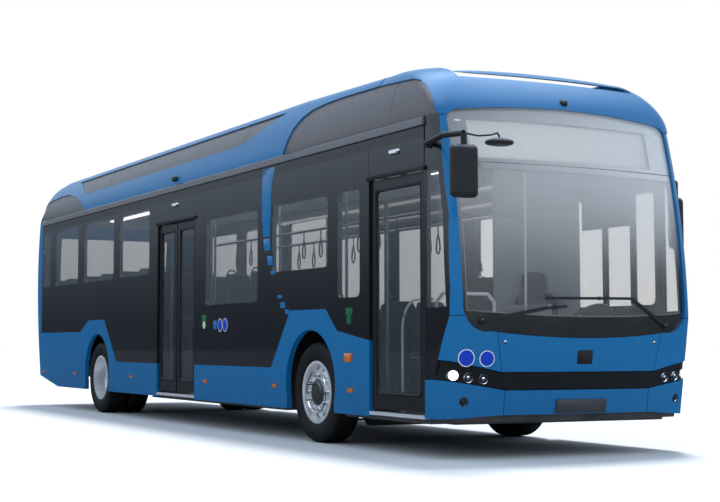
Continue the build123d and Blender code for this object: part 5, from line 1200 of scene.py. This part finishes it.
@dataclass
class Wheel:
    """One wheel station: tyres with a grooved tread, nuts and hub cover, and in front a ring, a near-black drum that
    paints shade into the rim's holes, and a bar.
    """

    name: str
    body: str
    side: Side
    axle_x: float
    tyres: tuple[float, ...]
    twin: bool
    tyre_radius: float = AXLE_Z
    groove_depth: float = 0.013
    sipe_depth: float = 0.006
    sipes: int = 84
    nut_circle: float = 0.1675
    nuts: int = 10
    twin_face: float = -0.142
    single_face: float = 0.087
    rod_level: float = 0.075
    rod_start: float = 0.120
    bar_out: float = 0.246
    bar_half: float = 0.084

    def section(self) -> tuple[np.ndarray, np.ndarray]:
        """Half-round tyre section as (along, radius) points and how much of the groove each takes.

        Returns:
            The closed section from one bead over the tread to the other, and each point's groove and sipe shares.
        """
        wall = np.array([(0.106, 0.2865), (0.1075, 0.2993), (0.118, 0.306), (0.121, 0.316), (0.1275, 0.322),
                         (0.1335, 0.345), (0.1372, 0.378), (0.1360, 0.405), (0.1335, 0.424), (0.1325, 0.427),
                         (0.1285, 0.437), (0.1262, 0.447), (0.1235, 0.456), (0.1180, 0.4665), (0.1100, 0.4715)])
        grooves = np.array([0.0, 0.036, 0.074])
        edges = np.concatenate([[g - 0.0055, g - 0.0035, g + 0.0035, g + 0.0055] for g in grooves])
        cut = np.tile([0.0, 1.0, 1.0, 0.0], len(grooves))
        along = np.concatenate([[0.098, 0.090], edges[::-1][edges[::-1] > 0.0]])
        share = np.concatenate([[0.0, 0.0], cut[::-1][edges[::-1] > 0.0]])
        radius = self.tyre_radius - 0.005 * (along / 0.098) ** 2
        half = np.concatenate([wall, np.stack([along, radius], axis=-1)])
        groove = np.concatenate([np.zeros(len(wall)), share])
        sipe = np.concatenate([np.zeros(len(wall) - 3), [0.0, 0.7, 1.0], np.where(along > 0.080, 1.0, 0.0)])
        full = np.concatenate([half, (half * [-1.0, 1.0])[::-1]])
        return full, np.stack([np.concatenate([groove, groove[::-1]]), np.concatenate([sipe, sipe[::-1]])], axis=-1)

    def tyre_grid(self, centre_y: float) -> np.ndarray:
        """Tyre surface: the section turned about the axle, less the grooves and, every few degrees, the sipes.

        Args:
            centre_y: Where the tyre's middle is.

        Returns:
            Grid of section points by points round the tyre.
        """
        section, shares = self.section()
        count = self.sipes * 4
        grid = spun(section, np.zeros(3), 1.0, count)
        step = np.tile([1.0, 0.0, 0.0, 0.0], self.sipes)[None]
        depth = np.maximum(self.groove_depth * shares[:, 0:1], self.sipe_depth * shares[:, 1:2] * step)
        radius = np.linalg.norm(grid[..., (0, 2)], axis=-1)
        scale = ((radius - depth) / radius)[..., None]
        grid = grid * np.concatenate([scale, np.ones_like(scale), scale], axis=-1)
        return grid + np.array([self.axle_x, centre_y, AXLE_Z])

    def build_tyres(self) -> None:
        """Builds this station's tyres in place of the CAD tyres."""
        tyres = MeshBin(f"{self.name}_tread")
        for centre_y in self.tyres:
            tyres.loop(self.tyre_grid(centre_y), RUBBER)
        tyres.build(self.body, (self.name,), sharp=30.0)

    def build_hub(self) -> None:
        """Builds nuts with domed caps on their circle and the hub cover, and the front hub's ring, bar and near-black
        drum, which stands for the brake drum and paints the shade in the rim's holes.
        """
        centre = np.array([self.axle_x, max(self.tyres, key=abs), AXLE_Z])
        out = float(self.side.value)
        face = self.twin_face if self.twin else self.single_face
        nut = np.array([(-0.002, 0.0225), (0.004, 0.0225), (0.005, 0.0185), (0.026, 0.0180), (0.034, 0.0140),
                        (0.037, 0.0060)])
        deep = np.array([(-0.004, 0.128), (0.030, 0.126), (0.060, 0.118), (0.085, 0.100), (0.100, 0.094),
                         (0.112, 0.086), (0.118, 0.060), (0.120, 0.004)])
        flat = np.array([(0.017, 0.129), (0.026, 0.124), (0.030, 0.104), (0.033, 0.098), (0.042, 0.092),
                         (0.046, 0.060), (0.047, 0.004)])
        hub = MeshBin(f"{self.name}_hub")
        middle = spun(np.array([(face, self.nut_circle)]), centre, out, self.nuts)[0]
        hub.add(middle[:, None, None] + spun(nut, np.zeros(3), out, 12), CHROME)
        hub.add(spun((deep if self.twin else flat) + [face, 0.0], centre, out, 48), HUB_DARK)
        if not self.twin:
            ring = ellipse(0.014, 0.014, 8)[:, ::-1] + [face + 0.036, 0.196]
            hub.loop(spun(ring, centre, out, 96), CHROME)
            # Near-black ring at the height of the rim's holes: partly the brake drum, partly painted shade seen
            # through the holes.
            drum_and_shade = np.array([(0.004, 0.262), (-0.004, 0.262), (0.030, 0.202), (0.038, 0.202)])
            hub.loop(spun(drum_and_shade, centre, out, 64), RUBBER)
            self.hub_bar(hub, centre, out)
        hub.build(self.body)

    def hub_bar(self, hub: MeshBin, centre: np.ndarray, out: float) -> None:
        """Adds the pale bar that stands off the hub cover on two dark rods.

        Args:
            hub: The mesh that takes the parts.
            centre: The wheel's centre.
            out: Sign of the outward y direction.
        """
        for level in (-self.rod_level, self.rod_level):
            rod = [(0.0, out * self.rod_start, level), (0.0, out * self.bar_out, level)]
            hub.add(tube(centre + rod, 0.007), HUB_DARK)
        bar = [(0.0, out * self.bar_out, level) for level in (-self.bar_half, self.bar_half)]
        hub.add(tube(centre + bar, 0.014, 14), RIM)

    def build(self) -> None:
        """Builds the station's tyres and hub."""
        self.build_tyres()
        self.build_hub()


@dataclass
class Saloon:
    """Seats, ceiling lights, hand loops, grab rails and cab parts inside."""

    cushion_thick: float = 0.095
    seat_width: float = 0.44
    back_thick: float = 0.055
    channel_z: float = 0.52
    driver_depth: float = 0.43
    driver_lean: float = 0.118
    loop_y: float = 0.4227
    loop_z: float = 2.18

    def benches(self, node: str) -> list[tuple[np.ndarray, np.ndarray, list[tuple[float, float]]]]:
        """Boxes of a node's benches, each with the two sides of every seat on it.

        Args:
            node: The node's name.

        Returns:
            Lowest corner, highest corner and pairs of seat sides of each bench.
        """
        found = []
        for low, high in islands(node):
            edges = np.linspace(low[1], high[1], max(1, round(float(high[1] - low[1]) / self.seat_width)) + 1)
            found.append((low, high, list(zip(edges[:-1], edges[1:]))))
        return found

    def cushions(self) -> None:
        """Crowned cushions, one for each seat of a bench, on dark pedestals."""
        soft, feet = MeshBin("seat_pads"), MeshBin("seat_feet")
        for low, high, seats in self.benches("seat_cushions"):
            for left, right in seats:
                soft.add(pillow(np.array([low[0] + 0.004, left + 0.006, high[2] - self.cushion_thick]),
                                np.array([high[0], right - 0.006, high[2] + 0.012]), 0.14), CLOTH, caps=False)
            foot = level_seat(low[0] + 0.12, (low[1] + high[1]) / 2.0, low[2])
            outline = rounded(0.16, 0.6 * float(high[1] - low[1]), 0.04)
            feet.add(foot.plate(outline, high[2] - low[2] - self.cushion_thick, 0.01, 0.0), PLASTIC)
        piece = soft.build(BODY, ("seat_cushions",))
        feet.build(BODY)

    def backs(self) -> None:
        """Leaning padded backs with a plastic shell behind each."""
        soft, shells = MeshBin("seat_back_pads"), MeshBin("seat_shells")
        for low, high, seats in self.benches("seat_backs"):
            lean = float(high[0] - low[0]) - self.back_thick
            for left, right in seats:
                near = np.array([high[0] - self.back_thick, left + 0.008, low[2] + 0.08])
                far = np.array([high[0] + 0.012, right - 0.008, high[2]])
                pad = pillow(near, far, 0.0, 0.40)
                channel = np.exp(-((pad[..., 2] - low[2] - self.channel_z) / 0.02) ** 2)
                pad[..., 0] -= 0.010 * channel * (pad[..., 0] > high[0] - 0.5 * self.back_thick)
                rim = np.array([near[0] + 0.022, far[1], far[2] + 0.006])
                shell = pillow(near - [0.004, 0.0, 0.05], rim, 0.0, 0.25)
                for part, target, finish in ((pad, soft, CLOTH), (shell, shells, PLASTIC)):
                    part[..., 0] -= lean * (part[..., 2] - low[2]) / float(high[2] - low[2])
                    target.add(part, finish, caps=False)
        piece = soft.build(BODY, ("seat_backs",))
        shells.build(BODY)

    def driver(self) -> None:
        """Driver's cushion, back and head pad on a dark base."""
        low, high = (np.array(corner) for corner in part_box("driver_seat"))
        foot = high[0] - self.driver_depth
        cushion = pillow(np.array([foot, low[1], 0.80]), np.array([high[0], high[1], 0.915]), 0.16)
        back = pillow(np.array([foot - 0.055, low[1], 0.84]), np.array([foot + 0.02, high[1], 1.44]), 0.0, 0.42)
        head = pillow(np.array([foot - 0.05, low[1] + 0.10, 1.42]), np.array([foot + 0.02, high[1] - 0.10, 1.63]),
                      0.0, 0.5)
        pad = MeshBin("driver_pads")
        for part, lean in ((cushion, 0.0), (back, self.driver_lean), (head, self.driver_lean)):
            part[..., 0] -= lean * (part[..., 2] - 0.81)
            pad.add(part, CLOTH, caps=False)
        piece = pad.build(BODY, ("driver_seat",))
        base = MeshBin("driver_base")
        seat = level_seat(foot + 0.22, (low[1] + high[1]) / 2.0, low[2])
        base.add(seat.plate(rounded(0.36, 0.36, 0.05), 0.46, 0.02, 0.0), PLASTIC)
        base.build(BODY)

    def ceiling(self) -> None:
        """Two bright strips along the ceiling."""
        low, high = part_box("roof_deck")
        strips = MeshBin("ceiling_lights")
        for side in Side:
            seat = level_seat((low.x + high.x) / 2.0, side.value * 0.55, low.z, -1.0)
            strips.add(seat.plate(rounded(high.x - low.x - 2.4, 0.10, 0.03), 0.018, 0.008), CEILING_LIGHT)
        strips.build(BODY)

    def loops(self) -> None:
        """Moulded hand loops that hang from the rails: a teardrop carried round as a tube."""
        turn = np.linspace(0.0, 2.0 * np.pi, 25)
        width = 0.045 * np.sin(turn) * np.sin(turn / 2.0)
        drop = np.stack([width, np.zeros(25), -0.10 + 0.10 * np.cos(turn)], axis=-1)
        loops = MeshBin("hand_loops")
        for side in Side:
            for distance in (-0.55, -0.38, -0.16, 0.02, 0.20, -3.2, -3.6, -1.4, -1.8, -2.2):
                start = np.array([ahead(distance), side.value * self.loop_y, self.loop_z - 0.016])
                strap = np.linspace(start, start - 0.09 * UP, 4)
                loops.add(tube(strap, 0.007, 8), PLASTIC)
                loops.add(tube(start - 0.085 * UP + drop, 0.009, 8), PLASTIC)
        loops.build(BODY)

    def grab_rails(self) -> None:
        """Bent rail on the dashboard beside the door and a grab handle on each seat back."""
        rails = MeshBin("grab_rails")
        corners = np.array([(-1.150, 1.045), (-1.150, 1.290), (-1.085, 1.360), (-0.640, 1.360), (-0.575, 1.290),
                            (-0.575, 1.045)])
        along = np.concatenate([np.linspace(*pair, 7)[:-1] for pair in zip(corners[:-1], corners[1:])])
        path = np.stack([np.full(len(along), ahead(2.06)), along[:, 0], along[:, 1]], axis=-1)
        rails.add(tube(path, 0.015), GRAB_WHITE)
        turn = np.linspace(0.0, np.pi, 13)
        for low, high in islands("seat_backs"):
            inside = low[1] if low[1] + high[1] > 0.0 else high[1]
            toward = np.sign(low[1] + high[1]) * 0.10
            middle = np.array([low[0] + self.back_thick / 2.0, inside + toward, high[2] - 0.030])
            arch = np.stack([np.zeros(13), 0.070 * np.cos(turn), 0.085 * np.sin(turn)], axis=-1)
            rails.add(tube(middle + arch, 0.011, 8), PLASTIC)
        rails.build(BODY)

    def cab(self) -> None:
        """Cab wall up to the ceiling, the pole at its gate, and the bars and blind of the driver's window."""
        low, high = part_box("driver_screen")
        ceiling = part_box("roof_deck")[0].z
        cab = MeshBin("cab_parts")
        wall = Seat(np.array([low.x, (low.y + high.y) / 2.0, (high.z + ceiling) / 2.0]), LEFT, UP, FORWARD)
        outline = rounded(high.y - low.y - 0.004, ceiling - high.z - 0.004, 0.003)
        cab.add(wall.plate(outline, 0.035, 0.002, 0.0), LINING)
        pole = np.array([ahead(1.440), low.y - 0.018, 0.0])
        cab.add(tube(pole + np.linspace(low.z * UP, ceiling * UP, 5), 0.013), GRAB_WHITE)
        bar, blind = rounded(0.060, 1.030, 0.010), rounded(0.720, 0.290, 0.010)
        for distance, y, z, outline, depth, edge, finish in (
                (1.290, 1.262, 1.817, bar, 0.030, 0.008, PLASTIC), (1.690, 1.262, 1.817, bar, 0.030, 0.008, PLASTIC),
                (1.330, 1.228, 2.190, blind, 0.006, 0.002, DASH)):
            seat = Seat(np.array([ahead(distance), y, z]), FORWARD, UP, -LEFT)
            cab.add(seat.plate(outline, depth, edge, 0.0), finish)
        cab.build(BODY)
        LOG.info("saloon dressed")

    def build(self) -> None:
        """Builds the inside pieces."""
        for step in (self.cushions, self.backs, self.driver, self.ceiling, self.loops, self.grab_rails, self.cab):
            step()


@dataclass
class Doors:
    """Rubber edges of the door leaves and the bent rail inside the front one."""

    leaves: tuple[str, ...] = ("front", "mid_front", "mid_rear")
    rail_radius: float = 0.011
    rail_stand: float = 0.014
    seal_wide: float = 0.011
    seal_high: float = 0.006

    def rail(self) -> None:
        """White rail from the foot of the front leaf up and over to its stile: a tube with a quarter-ellipse bend."""
        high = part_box("leaf_front")[1]
        inside = high.y + self.rail_stand
        turn = np.linspace(0.0, np.pi / 2.0, 12)
        bend = np.stack([ahead(1.53) + 0.23 * (1.0 - np.cos(turn)), 1.06 + 0.25 * np.sin(turn)], axis=-1)
        stem = np.stack([np.full(6, ahead(1.53)), np.linspace(0.46, 1.02, 6)], axis=-1)
        reach = np.stack([np.linspace(ahead(1.79), high.x - 0.03, 5), np.full(5, 1.31)], axis=-1)
        flat = np.concatenate([stem, bend, reach])
        rail = MeshBin("leaf_rail")
        rail.add(tube(np.stack([flat[:, 0], np.full(len(flat), inside), flat[:, 1]], axis=-1), self.rail_radius),
                 GRAB_WHITE)
        rail.build("door_leaf_front")

    def build(self) -> None:
        """Builds a seal round each leaf's glass, and the front leaf's rail."""
        self.rail()
        for leaf in self.leaves:
            low, high = (np.array(corner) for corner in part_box(f"leaf_{leaf}_glass"))
            middle = (low + high) / 2.0
            middle[1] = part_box(f"leaf_{leaf}")[0].y + 0.004
            outline = rounded(float(high[0] - low[0]) - 0.02, float(high[2] - low[2]) - 0.02, 0.05, 8)
            flat = np.stack([outline[:, 0], np.zeros(len(outline)), outline[:, 1]], axis=-1)
            inward = -flat / np.linalg.norm(flat, axis=1, keepdims=True)
            angle = turns(8)[None, :, None]
            bead = self.seal_wide * np.cos(angle) * inward[:, None] - self.seal_high * np.sin(angle) * LEFT
            seal = MeshBin(f"seal_{leaf}")
            seal.loop((middle + flat)[:, None] + bead, SEAL)
            seal.build(f"door_leaf_{leaf}")
        LOG.info("doors dressed")


def wheels() -> list[Wheel]:
    """The four wheel stations, placed by their spin joints.

    Returns:
        Front and rear station of each side.
    """
    stations = []
    for side in Side:
        label = side.name.lower()
        front, rear = (JOINTS[f"spin_{end}_{label}"]["pos_m"] for end in ("front", "rear"))
        twin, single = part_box(f"tyres_rear_{label}"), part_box(f"tyre_front_{label}")
        half = (twin[1].y - twin[0].y) / 2.0 - (single[1].y - single[0].y) / 2.0
        stations.append(Wheel(f"tyre_front_{label}", f"wheel_front_{label}", side, front[0], (front[1],), False))
        stations.append(Wheel(f"tyres_rear_{label}", f"wheels_rear_{label}", side, rear[0],
                              (rear[1] - half, rear[1] + half), True))
    return stations


def main() -> None:
    """Builds the studio and dresses the bus, piece by piece."""
    logging.basicConfig(level=logging.INFO, format="%(message)s")
    for assembly in (Studio(), Shell(), FrontEnd(), *wheels(), Saloon(), Doors()):
        assembly.build()


if __name__ == "__main__":
    main()
